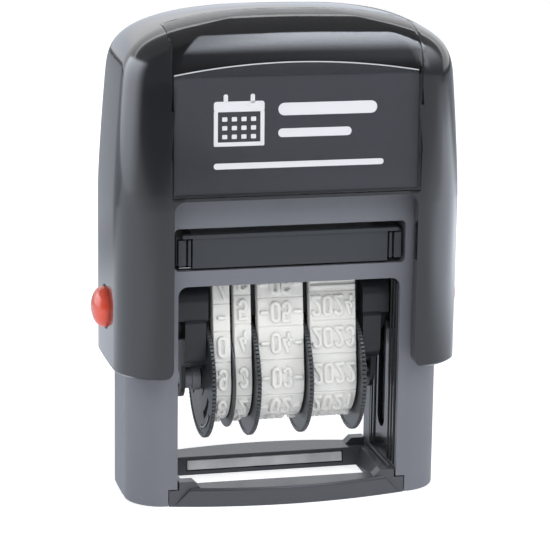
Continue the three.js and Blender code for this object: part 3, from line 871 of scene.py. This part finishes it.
def build_foot():
    """Low bars front and back with wings under the columns, a tab in each corner and a tapered opening."""
    low = prism("z", bowed(FOOT_HX, FOOT_OUT_Y), 0, FOOT_WING_Z)
    hx = WINDOW_HX - 0.3
    bars = loft("bars", [
        at_height(bowed(hx, FOOT_OUT_Y - 0.05), FOOT_WING_Z - 0.2),
        at_height(bowed(hx, FOOT_OUT_Y - 0.05), FOOT_BAR_Z - 0.25),
        at_height(bowed(hx, FOOT_OUT_Y - 0.4), FOOT_BAR_Z),
    ])
    tab = [(hx - 0.05, 2.7), (hx - 0.05, FOOT_TAB_Z), (18.2, FOOT_TAB_Z), (16.1, 2.7)]
    union(low, bars, *corner_prisms(tab, 9.2, FOOT_OUT_Y + 0.1))
    funnel = loft("funnel", [opening_at(OPEN_HX - 1.5, -1), opening_at(OPEN_HX, FOOT_BAR_Z + 0.06)])
    # the ends of the bowed faces are flat below the tabs
    head, end = FOOT_BAR_Z + 0.3, FOOT_HX + 0.4
    facets = corner_prisms([(18.4, head), (21.6, 0.4), (end, 0.4), (end, head)], FOOT_OUT_Y + 0.13, 15)
    cut(low, funnel, *facets, *[strip(s, 0.75, 2.95, 15.8, -0.6, 0.95) for s in (-1, 1)])
    soften(low, 0.18, 2, 25, 40, flatten=False)
    place_piece(low, "foot_body", "base", "foot_plastic", FOOT, "foot_frame")
    for name, s in (("foot_window_front", -1), ("foot_window_rear", 1)):
        # the clear strips are shown as opaque sheets with the painted reflection colour instead of being
        # see-through
        clear = strip(s, 0.95, 2.75, 15.6, 0.05, 0.7)
        soften(clear, 0.08, 2, 32, 40)
        place_piece(clear, name + "_strip", "base", "foot_clear", STRIP_PAINTED_REFLECTION, name)


build_foot()


# ---------------------------------------------------------------- pad cartridge and ink pad
def build_cartridge():
    front = -span("pad_cartridge")[0].y - 0.4
    body = box(-18.65, 18.65, -front, front, 45.8, 52.2)
    union(
        body,
        box(-21.6, 21.6, -front + 1.2, front - 1.2, 46.1, 51.6),
        box(-21.6, 21.6, -front + 1.2, -9.0, 45.75, 46.3),
        *[box(*pair(s, 19.9, 21.3), -front, -front + 2, 46.3, 51.2) for s in (-1, 1)],
        *[box(*pair(s, 18.95, 19.5), -front, -front + 2, 46.3, 51.2) for s in (-1, 1)],
        box(-20.6, 20.6, -front - 0.4, -front + 1, 51.5, 52.2),
    )
    cut(body, box(-18.0, 18.0, -8.8, 8.8, 45, 49.4), box(-16, 16, -7, 7, 51.2, 53))
    soften(body, 0.14, 2, 32, 40)
    place_piece(body, "pad_cartridge_body", "pad", "cartridge_plastic", DARK, "pad_cartridge")
    pad = box(-17.7, 17.7, -8.5, 8.5, 45.6, 49.1)
    soften(pad, 0.5, 3, 32, 60)
    place_piece(pad, "ink_pad_felt", "pad", "pad_felt", FELT, "ink_pad")


build_cartridge()


# ---------------------------------------------------------------- date unit: bands with raised characters
AXLE_Z = 21.8
GLYPH_RISE = 0.62
BAND_OUT = 8.9 - GLYPH_RISE - 0.05
BAND_IN = 6.3
NOSE_HY = 5.8 - GLYPH_RISE - 0.05
NOSE_TOP = 45.2 - GLYPH_RISE - 0.05
NOSE_R = 1.0
ROWS = 15
GLYPH_W, GLYPH_H = 1.32, 3.4
STROKE = 0.62


class Loop:
    """The path of a band's outside, measured by arc length upward from the lowest point of the front."""

    def __init__(self, drum, nose_hy, nose_top, nose_r):
        self.drum, self.hy, self.r = drum, nose_hy - nose_r, nose_r
        self.z = nose_top - nose_r
        rise = self.z - AXLE_Z
        distance = math.hypot(self.hy, rise)
        self.normal = math.atan2(self.hy, rise) + math.acos((drum - nose_r) / distance)
        self.run = math.sqrt(distance**2 - (drum - nose_r) ** 2)
        self.drum_part = drum * (math.pi - self.normal)
        self.nose_part = nose_r * self.normal
        self.half = self.drum_part + self.run + self.nose_part + self.hy
        self.length = 2 * self.half

    def at(self, s):
        """(y, z) and outward (ny, nz) at arc length s; the front is at negative y."""
        s %= self.length
        if s > self.half:
            (y, z), (ny, nz) = self.at(self.length - s)
            return (-y, z), (-ny, nz)
        if s < self.drum_part:
            a = math.pi - s / self.drum
            return self.place(0, AXLE_Z, self.drum, a)
        s -= self.drum_part
        if s < self.run:
            start = self.place(0, AXLE_Z, self.drum, self.normal)
            end = self.place(self.hy, self.z, self.r, self.normal)
            t = s / self.run
            point = tuple(p + (q - p) * t for p, q in zip(start[0], end[0]))
            return point, start[1]
        s -= self.run
        if s < self.nose_part:
            return self.place(self.hy, self.z, self.r, self.normal - s / self.r)
        s -= self.nose_part
        return (-(self.hy - s), self.z + self.r), (0.0, 1.0)

    def place(self, cy, cz, r, a):
        return (-(cy + r * math.sin(a)), cz + r * math.cos(a)), (-math.sin(a), math.cos(a))


OUTER = Loop(BAND_OUT, NOSE_HY, NOSE_TOP, NOSE_R)
INNER = Loop(BAND_IN, 3.2, 45.2 - 2.6, NOSE_R)


def glyph_strokes(sign):
    """Centre lines of a character in a box GLYPH_W wide and GLYPH_H high, as (points, closed)."""
    w, h = GLYPH_W, GLYPH_H
    r = w / 2
    if sign == "0":
        return [(oval_arc(r, h - r, r, r, 0, 180) + oval_arc(r, r, r, r, 180, 360), True)]
    if sign == "1":
        return [([(r - 0.45, h - 0.6), (r, h), (r, 0)], False)]
    if sign == "2":
        return [(oval_arc(r, h - r, r, r, 170, -20) + [(w * 0.86, h * 0.5), (0, 0), (w, 0)], False)]
    if sign == "3":
        q = h * 0.26
        top = oval_arc(r, h - q, r, q, 160, -80)
        low = oval_arc(r, q, r, q, 80, -160)
        return [(top + low, False)]
    if sign == "4":
        stem = [(w * 0.72, h * 0.62), (w * 0.72, 0)]
        return [([(w * 0.55, h), (0, h * 0.34), (w, h * 0.34)], False), (stem, False)]
    if sign == "5":
        q = h * 0.3
        return [([(w * 0.92, h), (0.08, h), (0.05, h * 0.56)] + oval_arc(r, q, r, q, 125, -160, 14), False)]
    if sign in "69":
        q = h * 0.28
        loop = oval_arc(r, q, r, q, 180, 540, 20)
        tail = [(0, q), (0, h - r)] + oval_arc(r, h - r, r, r, 180, 25)
        strokes = [(loop[:-1], True), (tail, False)]
        return strokes if sign == "6" else [([(w - x, h - y) for x, y in s], c) for s, c in strokes]
    if sign == "7":
        return [([(0, h), (w, h), (w * 0.35, 0)], False)]
    if sign == "8":
        q = h * 0.25
        low = oval_arc(r, q, r, q, 0, 342, 18)
        return [(oval_arc(r, h - q, r * 0.9, q, 0, 342, 18), True), (low, True)]
    if sign == "/":
        return [([(0.1, 0.2), (w - 0.1, h - 0.2)], False)]
    return [([(0.12, h / 2), (w - 0.12, h / 2)], False)]


def spaced(points, closed, step=0.3):
    """The same line with its long stretches divided, so that it can follow a curved band."""
    ends = points[1:] + points[:1] if closed else points[1:]
    out = []
    for (x0, y0), (x1, y1) in zip(points, ends):
        pieces = max(1, round(math.hypot(x1 - x0, y1 - y0) / step))
        out += [(x0 + (x1 - x0) * i / pieces, y0 + (y1 - y0) * i / pieces) for i in range(pieces)]
    return out if closed else out + [points[-1]]


# Half of a stroke's tapered section, from the foot to the middle of its flat top: (offset, height).
HALF_SECTION = [(0.45, -0.12), (0.33, 0.4), (0.27, 0.57), (0.16, GLYPH_RISE)]


def stroke_mesh(points, closed):
    """Vertices (across, along, height) and faces of one raised stroke with round ends."""
    points = spaced(points, closed)
    n = len(points)
    verts, faces = [], []
    section = HALF_SECTION + [(-d, h) for d, h in reversed(HALF_SECTION)]
    m = len(section)
    rows = []

    def add_row(centre, side, profile):
        rows.append(len(verts))
        verts.extend((centre[0] + side[0] * d, centre[1] + side[1] * d, h) for d, h in profile)

    for i, p in enumerate(points):
        a = points[i - 1] if closed or i else p
        b = points[(i + 1) % n] if closed or i + 1 < n else p
        d0 = Vector((p[0] - a[0], p[1] - a[1]))
        d1 = Vector((b[0] - p[0], b[1] - p[1]))
        if not d0.length:
            d0 = d1
        if not d1.length:
            d1 = d0
        t = d0.normalized() + d1.normalized()
        t = t.normalized() if t.length > 0.2 else d1.normalized()
        stretch = min(1.35, 1 / max(0.5, t.dot(d1.normalized())))
        add_row(p, (-t.y * stretch, t.x * stretch), section)
    last = n if closed else n - 1
    for k in range(last):
        a, b = rows[k], rows[(k + 1) % n]
        for i in range(m - 1):
            faces.append((a + i, a + i + 1, b + i + 1, b + i))
    if not closed:
        for end, inward in ((0, 1), (n - 1, n - 2)):
            p, q = points[end], points[inward]
            away = Vector((p[0] - q[0], p[1] - q[1])).normalized()
            verts.append((p[0], p[1], GLYPH_RISE))
            hub = len(verts) - 1
            fan = []
            for k in range(7):
                a = math.radians(-90 + 30 * k)
                cos, sin = math.cos(a), math.sin(a)
                side = (away.x * cos - away.y * sin, away.x * sin + away.y * cos)
                fan.append(len(verts))
                verts.extend((p[0] + side[0] * d, p[1] + side[1] * d, h) for d, h in HALF_SECTION)
            for a, b in zip(fan, fan[1:]):
                for i in range(len(HALF_SECTION) - 1):
                    faces.append((a + i, b + i, b + i + 1, a + i + 1))
                faces.append((a + len(HALF_SECTION) - 1, b + len(HALF_SECTION) - 1, hub))
    return verts, faces


def arc_at(z):
    """Arc length at which the front of the band passes height z."""
    low, high = 0.0, OUTER.half
    for _ in range(40):
        middle = (low + high) / 2
        low, high = (middle, high) if OUTER.at(middle)[0][1] < z else (low, middle)
    return low


def seams(heights):
    """Arc lengths of the grooves: on the front at the given heights, the rest spread evenly."""
    front = [arc_at(z) for z in heights]
    rest = ROWS - len(front) + 1
    step = (OUTER.length - (front[-1] - front[0])) / rest
    return front + [front[-1] + step * k for k in range(1, rest + 1)]


def build_band(name, node, words, heights, ribbed=()):
    """words go up the front from the row that starts at the lowest of the seam heights."""
    grooves = seams(heights)
    lo, hi = span(node)
    x0, x1 = lo.x + 0.03, hi.x - 0.03
    stations = []
    for start, end in zip(grooves, grooves[1:]):
        stations += [(start, 0.24), (start + 0.09, 0.12)]
        stations += [(start + 0.18 + (end - start - 0.36) * i / 8, 0.0) for i in range(9)]
        stations.append((end - 0.09, 0.12))
    rings = []
    edge = 0.16
    for s, depth in stations:
        (y, z), (ny, nz) = OUTER.at(s)
        (iy, iz), _ = INNER.at(s / OUTER.length * INNER.length)
        top = (y - ny * depth, z - nz * depth)
        lip = (y - ny * (depth + edge), z - nz * (depth + edge))
        rings.append([
            (x0, iy, iz), (x0, *lip), (x0 + edge * 0.4, top[0] - ny * edge * 0.3, top[1] - nz * edge * 0.3),
            (x0 + edge, *top), (x1 - edge, *top),
            (x1 - edge * 0.4, top[0] - ny * edge * 0.3, top[1] - nz * edge * 0.3), (x1, *lip), (x1, iy, iz),
        ])
    body = smooth(loft(name, rings, closed=True), 38)
    place_piece(body, name, "date_unit", "band_rubber", RUBBER, node)
    verts, faces = [], []
    for row in range(ROWS):
        middle = (grooves[row] + grooves[row + 1]) / 2
        word = words[row % len(words)]
        lines = []
        if row in ribbed:
            width = x1 - x0 - 0.9
            for k in (-1.5, -0.5, 0.5, 1.5):
                lines.append(([(x0 + 0.45, k * 1.1), (x0 + 0.45 + width, k * 1.1)], False))
        else:
            advance = GLYPH_W + STROKE + 0.22
            start = (x0 + x1) / 2 - (len(word) * advance - STROKE - 0.22) / 2
            for i, sign in enumerate(word):
                for points, closed in glyph_strokes(sign):
                    flipped = [(start + i * advance + x, GLYPH_H / 2 - y) for x, y in points]
                    lines.append((flipped, closed))
        for points, closed in lines:
            stroke_verts, stroke_faces = stroke_mesh(points, closed)
            base = len(verts)
            for x, along, height in stroke_verts:
                (y, z), (ny, nz) = OUTER.at(middle + along)
                verts.append((x, y + ny * height, z + nz * height))
            faces += [tuple(base + i for i in f) for f in stroke_faces]
    raised = face_outward(new_object(name + "_characters", verts, faces))
    smooth(raised, 50, weighted=False)
    place_piece(raised, name + "_characters", "date_unit", "band_rubber", RUBBER)


DAY_TENS = ["9", "0", "-", "/", "1", "2", "3", "-", "0", "1", "2", "3", "6", "7", "8"]
DAY_UNITS = ["3", "4", "5", "6", "7", "8", "9", "0", "-", "1", "0", "9", "0", "1", "2"]
MONTHS = [f"-{m:02d}-" for m in range(3, 13)] + ["----", "-00-", "----", "-01-", "-02-"]
YEARS = ["2022", "2023", "2024", "    "] + [str(year) for year in range(2025, 2034)] + ["2020", "2021"]
build_band("day_tens_band", "band_day_tens", DAY_TENS, (20.0, 26.5, 32.3, 37.5))
build_band("day_units_band", "band_day_units", DAY_UNITS, (19.8, 27.1, 33.5, 39.0))
build_band("month_band", "band_month", MONTHS, (19.7, 26.5, 32.8, 38.2))
build_band("year_band", "band_year", YEARS, (19.8, 27.1, 33.5, 39.0), ribbed=(3,))


# ---------------------------------------------------------------- wheels with knurled rims
TEETH = 90
TOOTH = 0.42


def knurled(x0, x1, r, name):
    """A disc whose rim has fine teeth, with softened rim edges."""
    edge = 0.12

    def ring(x, shrink):
        points = []
        for k in range(TEETH):
            for offset, depth in ((-0.27, 0), (0.0, 0), (0.27, 0), (0.5, TOOTH)):
                a = 2 * math.pi * (k + offset) / TEETH
                q = r - shrink - depth
                points.append((x, q * math.cos(a), AXLE_Z + q * math.sin(a)))
        return points

    return loft(name, [ring(x0, edge), ring(x0 + edge, 0), ring(x1 - edge, 0), ring(x1, edge)])


def build_wheel(part, disc_x0, disc_x1, drum_x0, drum_x1, face_slot=False):
    node = "wheel_" + part
    r = span(node)[1].y
    disc = knurled(disc_x0, disc_x1, r, node)
    dish = 0.12
    for x0, x1 in ((disc_x0 - 1, disc_x0 + dish), (disc_x1 - dish, disc_x1 + 1)):
        cut(disc, cut(rod(x0, x1, 0, AXLE_Z, r - 0.75, 96), rod(x0 - 1, x1 + 1, 0, AXLE_Z, 3.6, 48)))
    union(disc, rod(drum_x0, drum_x1, 0, AXLE_Z, 6.0, 64))
    cut(disc, rod(-30, 30, 0, AXLE_Z, 1.75, 40))
    if face_slot:
        for start in (200, 80, -40):
            slot = arc(0, AXLE_Z, 8.2, start, start + 46, 12) + arc(0, AXLE_Z, 6.7, start + 46, start, 12)
            cut(disc, prism("x", slot, disc_x0 - 1, disc_x0 + 0.55))
    soften(disc, 0.0, sharp=35, flatten=False)
    place_piece(disc, node + "_disc", node, "wheel_plastic", DISC, node)
    if face_slot:
        # a raised plain arc with a three-sided head, showing which way the wheel turns
        tail, tip = 215, 262
        ends = disc_x0 + dish - 0.13, disc_x0 + dish + 0.2
        shape = arc(0, AXLE_Z, 9.9, tail, tip, 14) + arc(0, AXLE_Z, 9.45, tip, tail, 14)
        mark = prism("x", shape, *ends)
        union(mark, rod(*ends, *arc(0, AXLE_Z, 9.67, tip, tail, 14)[0], 0.62, 3))
        soften(mark, 0.05, 1, 40, 40)
        place_piece(mark, node + "_mark", node, "wheel_plastic", GUIDE)


build_wheel("day_tens", -14.7, -13.9, -14.0, -10.3, face_slot=True)
build_wheel("day_units", -6.05, -5.25, -9.6, -6.0)
build_wheel("month", 4.1, 4.9, -5.05, 4.2)
build_wheel("year", 14.4, 15.2, 5.1, 14.5)


# ---------------------------------------------------------------- carriers, axle, collars, platen
PLATE_HY, PLATE_Z, PLATE_R = 6.9, 25.2, 3.0
TONGUE_X = 18.2


def build_carrier(side, head_x, plate_x):
    head = [(-6.2, 34.4), (6.2, 34.4)] + arc(2.6, 37.8, 3.6, 0, 90, 12) + arc(-2.6, 37.8, 3.6, 90, 180, 12)
    across_y, up_z = PLATE_HY - PLATE_R, PLATE_Z + PLATE_R
    plate = [(PLATE_HY - 0.6, 34.6), (-PLATE_HY + 0.6, 34.6), (-PLATE_HY, 34.0)]
    plate += arc(-across_y, up_z, PLATE_R, 180, 270, 10) + arc(across_y, up_z, PLATE_R, 270, 360, 10)
    plate.append((PLATE_HY, 34.0))
    tongue = [(3.4, 26.0), (-3.4, 26.0)] + arc(0, AXLE_Z - 0.2, 3.4, 180, 360, 20)

    body = prism("x", head, *pair(side, head_x, 20.7))
    union(
        body,
        prism("x", plate, *pair(side, plate_x, TONGUE_X + 0.8)),
        prism("x", tongue, *pair(side, TONGUE_X, TONGUE_X + 0.78)),
        prism("x", circle(0, PIVOT_Z, 3.6), *pair(side, plate_x + 0.02, 20.68)),
        rod(*pair(side, 20, 26.7), 0, PIVOT_Z, 2.0),
    )
    cut(body, rod(*pair(side, TONGUE_X - 1, TONGUE_X + 2), 0, AXLE_Z, 1.75))
    soften(body, 0.3, 3, 32, 40)
    node = "carrier_" + ("right" if side > 0 else "left")
    place_piece(body, node + "_body", "date_unit", "carrier_black", CARRIER, node)


build_carrier(1, 15.55, 15.5)
build_carrier(-1, 14.45, 15.0)


def build_small_parts():
    for side in ("left", "right"):
        node = "axle_collar_" + side
        lo, hi = span(node)
        step = (lo.x, lo.x + 1.6) if side == "right" else (hi.x - 1.6, hi.x)
        collar = union(rod(lo.x, hi.x, 0, AXLE_Z, 2.1), rod(*step, 0, AXLE_Z, 2.5))
        cut(collar, rod(lo.x - 1, hi.x + 1, 0, AXLE_Z, 1.7))
        soften(collar, 0.12, 2, 40, 40)
        place_piece(collar, node + "_ring", "date_unit", "collar_grey", HUB, node)
    lo, hi = span("wheel_axle")
    axle = rod(lo.x, hi.x, 0, AXLE_Z, 1.45)
    soften(axle, 0.2, 3, 40, 50)
    place_piece(axle, "axle_rod", "date_unit", "axle_steel", STEEL, "wheel_axle")
    lo, hi = span("band_divider")
    divider = cut(rod(lo.x, hi.x, 0, AXLE_Z, 9.9, 128), rod(lo.x - 1, hi.x + 1, 0, AXLE_Z, 1.75))
    soften(divider, 0.1, 2, 40, 40)
    place_piece(divider, "divider_disc", "date_unit", "wheel_plastic", DISC, "band_divider")
    lo, hi = span("platen")
    shape = [(-3.0, 34.0), (3.0, 34.0), (2.9, 41.9), (2.5, 42.3), (-2.5, 42.3), (-2.9, 41.9)]
    platen = prism("x", shape, lo.x, hi.x)
    soften(platen, 0.2, 2, 40, 50)
    place_piece(platen, "platen_block", "date_unit", "platen_plastic", DARK, "platen")


build_small_parts()


# ---------------------------------------------------------------- yoke and spring inside the hood
def build_yoke():
    z1 = span("cap_yoke")[1].z
    z0 = z1 - 1.6
    bridge = cut(box(-YOKE_OUT, YOKE_OUT, -8.0, 8.0, z0, z1), prism("z", circle(0, 0, 7.0), z0 - 1, z1 + 1))
    for s in (-1, 1):
        ends = pair(s, YOKE_IN, YOKE_OUT)
        arm = union(box(*ends, -4.0, 4.0, PIVOT_Z, z1), prism("x", circle(0, PIVOT_Z, 4.0), *ends))
        union(bridge, cut(arm, rod(*pair(s, 20, 30), 0, PIVOT_Z, 2.3)))
    soften(bridge, 0.25, 2, 32, 40)
    place_piece(bridge, "yoke_frame", "cap", "yoke_plastic", DARK, "cap_yoke")


def build_spring():
    lo, hi = span("return_spring")
    wire, turns, steps = 0.45, 7, 7 * 28
    r = hi.x - wire
    z0, z1 = lo.z + wire, hi.z - wire
    rings = []
    for i in range(steps + 1):
        t = i / steps
        a = 2 * math.pi * turns * t
        rise = t * 0.3 if t < 0.1 else 0.97 + (t - 0.9) * 0.3 if t > 0.9 else 0.03 + (t - 0.1) * 1.175
        z = z0 + (z1 - z0) * rise
        ring = []
        for b in turn(10):
            rad = r + wire * math.cos(b)
            ring.append((rad * math.cos(a), rad * math.sin(a), z + wire * math.sin(b)))
        rings.append(ring)
    coil = smooth(loft("coil", rings), 60, weighted=False)
    body = next(b for b, nodes in frame["record"]["behaviour"]["bodies"].items() if "return_spring" in nodes)
    place_piece(coil, "spring_coil", body, "spring_steel", STEEL, "return_spring")
    return coil, (hi.z - lo.z)


build_yoke()
coil, coil_length = build_spring()
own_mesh(coil)


# ---------------------------------------------------------------- studio
MIDDLE = (0, 0, 50)
PALE = (0.92, 0.98, 1.08)


def flat_material(name, colour, strength):
    made = new_material(name)
    shader = made.node_tree.nodes["Principled BSDF"]
    shader.inputs["Base Color"].default_value = (*colour, 1)
    shader.inputs["Roughness"].default_value = 0.9
    shader.inputs["Specular IOR Level"].default_value = 0.1
    shader.inputs["Emission Color"].default_value = (*colour, 1)
    shader.inputs["Emission Strength"].default_value = strength
    return made


def build_stage():
    reach = 4000
    corners = [(-reach, -reach, 0), (reach, -reach, 0), (reach, reach, 0), (-reach, reach, 0)]
    floor = new_object("floor", corners, [(0, 1, 2, 3)])
    floor.location.z = -0.00005
    floor.data.materials.append(flat_material("floor_white", (0.86, 0.86, 0.87), 0.72))


def reflector(name, corner, across, up, strength, fades, foot_share=1.0):
    """A card seen only in reflections, given by a corner and two sides. It fades out towards its edges by the
    given shares of its size (left, right, bottom, top); foot_share is its brightness at the bottom."""
    corner, across, up = Vector(corner), Vector(across), Vector(up)
    corners = [corner, corner + across, corner + across + up, corner + up]
    sheet = new_object(name, corners, [(0, 1, 2, 3)])
    layer = sheet.data.uv_layers.new(name="card")
    for loop, place in zip(layer.data, ((0, 0), (1, 0), (1, 1), (0, 1))):
        loop.uv = place
    sheet.data.materials.append(fading_material(name, strength, fades, foot_share))
    sheet.visible_camera = False
    sheet.visible_diffuse = False
    sheet.visible_shadow = False
    sheet.visible_transmission = False


def fading_material(name, strength, fades, foot_share):
    made = new_material(name)
    nodes = made.node_tree.nodes
    nodes.clear()
    add = Nodes(made.node_tree)
    split = nodes.new("ShaderNodeSeparateXYZ")
    add.feed(nodes.new("ShaderNodeTexCoord").outputs["UV"], split.inputs["Vector"])
    left, right, bottom, top = [max(f, 1e-4) for f in fades]
    across, up = split.outputs["X"], split.outputs["Y"]
    share = add.math("MULTIPLY", add.ramp(across, 0, left), add.ramp(across, 1, 1 - right))
    upright = add.math("MULTIPLY", add.ramp(up, 0, bottom), add.ramp(up, 1, 1 - top))
    share = add.math("MULTIPLY", share, upright)
    glow = nodes.new("ShaderNodeEmission")
    glow.inputs["Color"].default_value = (*PALE, 1)
    add.feed(add.ramp(up, 0, 1, strength * foot_share, strength, "LINEAR"), glow.inputs["Strength"])
    output = nodes.new("ShaderNodeOutputMaterial")
    add.feed(add.see_through(share, glow.outputs[0]), output.inputs["Surface"])
    return made


def softbox(name, centre, size, power):
    """An area light for the matt surfaces. It isn't seen in reflections, which the cards and the sky make."""
    data = bpy.data.lights.new(name, "AREA")
    data.shape = "RECTANGLE"
    data.size, data.size_y = size[0] * MM, size[1] * MM
    data.energy = power
    light = linked(name, data)
    light.location = Vector(centre) * MM
    light.rotation_euler = (Vector(centre) - Vector(MIDDLE)).to_track_quat("Z", "Y").to_euler()
    light.visible_glossy = False


# Bands of the sky, in degrees from the front over the object: (brightness, starts, full, falls from, gone).
SKY = [
    (0.2, 62.0, 85.0, 134.0, 140.0),
    (1.05, 134.0, 136.5, 190.0, 200.0),
    (1.2, 134.0, 136.0, 139.0, 142.0),
]
SKY_BASE = 0.1
SKY_DIFFUSE = 0.35
SKY_SEEN = 1.05


def build_world():
    """White to the camera, a dim even fill for matt surfaces, and bands of light for glossy ones."""
    world = bpy.data.worlds.new("studio")
    world.use_nodes = True
    bpy.context.scene.world = world
    nodes = world.node_tree.nodes
    add = Nodes(world.node_tree)
    split = nodes.new("ShaderNodeSeparateXYZ")
    add.feed(nodes.new("ShaderNodeTexCoord").outputs["Generated"], split.inputs["Vector"])
    # angle above the horizon measured in the Y-Z plane, from 0 in front over 90 overhead to 180 behind
    forward = add.math("MULTIPLY", split.outputs["Y"], -1.0)
    pitch = add.math("DEGREES", add.math("ARCTAN2", split.outputs["Z"], forward))
    pitch = add.math("MULTIPLY", pitch, add.math("GREATER_THAN", split.outputs["Z"], 0.0))
    glow = SKY_BASE
    for level, start, full, fall, end in SKY:
        falling = add.math("SUBTRACT", 1.0, add.ramp(pitch, fall, end))
        share = add.math("MULTIPLY", add.ramp(pitch, start, full), falling)
        glow = add.math("ADD", add.math("MULTIPLY", share, level), glow)
    path = nodes.new("ShaderNodeLightPath")
    seen = 0.0
    for ray, level in (("Is Camera Ray", SKY_SEEN), ("Is Glossy Ray", glow), ("Is Diffuse Ray", SKY_DIFFUSE)):
        seen = add.math("ADD", add.math("MULTIPLY", path.outputs[ray], level), seen)
    add.feed(seen, nodes["Background"].inputs["Strength"])
    nodes["Background"].inputs["Color"].default_value = (0.98, 0.99, 1.0, 1)


def build_camera():
    data = bpy.data.cameras.new("camera")
    data.sensor_width = 36.0
    data.lens = 166.98
    camera = linked("camera", data)
    right = Vector((0.9716, -0.2363, 0.0136)).normalized()
    back = Vector((-0.2327, -0.9429, 0.2382)).normalized()
    up = back.cross(right).normalized()
    right = up.cross(back)
    turned = Matrix((right, up, back)).transposed().to_4x4()
    camera.matrix_world = Matrix.Translation(Vector((-113.21, -458.0, 156.77)) * MM) @ turned
    bpy.context.scene.camera = camera


build_stage()
build_world()
build_camera()
bpy.context.scene.view_settings.view_transform = "Standard"
softbox("front_top", (-60, -420, 480), (520, 300), 1.5)
softbox("left", (-480, -260, 260), (300, 420), 0.4)
softbox("right", (520, -300, 260), (300, 420), 1.1)
softbox("back", (0, 480, 420), (500, 300), 0.8)
# What glossy surfaces see of the floor: dark far off, paler round the stamp and palest on the left.
NONE = (0, 0, 0, 0)
reflector("floor_far", (-3900, -3900, -0.04), (7800, 0, 0), (0, 7800, 0), 0.0, NONE)
reflector("floor_front_right", (30, -2600, -0.035), (2400, 0, 0), (0, 2600, 0), 0.48, (0.03, 0.3, 0.3, 0.2))
reflector("floor_near", (-1500, -430, -0.03), (3000, 0, 0), (0, 700, 0), 0.8, (0.2, 0.2, 0.25, 0.2))
reflector("floor_behind", (-1500, 130, -0.025), (3000, 0, 0), (0, 2400, 0), 0.5, (0.1, 0.1, 0.05, 0.2))
reflector("floor_right", (60, -430, -0.02), (900, 0, 0), (0, 730, 0), 1.05, (0.25, 0.3, 0.25, 0.3))
reflector("floor_left", (-800, -290, -0.015), (760, 0, 0), (0, 500, 0), 1.2, (0.1, 0.12, 0.38, 0.2))
reflector("floor_far_right", (110, -260, -0.01), (690, 0, 0), (0, 510, 0), 2.2, (0.14, 0.3, 0.3, 0.3))
reflector("left_panel", (-460, 620, -10), (0, -830, 0), (0, 0, 380), 5.0, (0.3, 0.3, 0.0, 0.2), 0.4)
reflector("overhead", (50, -930, 600), (1000, 0, 0), (0, 900, 0), 8.5, (0.09, 0.9, 0.85, 0.05), 0.25)
reflector("front_high", (60, -720, 110), (900, 0, 0), (0, 0, 690), 2.4, (0.7, 0.3, 0.35, 0.3))
reflector("right_panel", (520, -800, 70), (0, 880, 0), (0, 0, 470), 2.6, (0.3, 0.2, 0.8, 0.15))
reflector("behind_low", (-620, 640, 70), (1240, 0, 0), (0, 0, 190), 1.0, (0.3, 0.3, 0.25, 0.35))
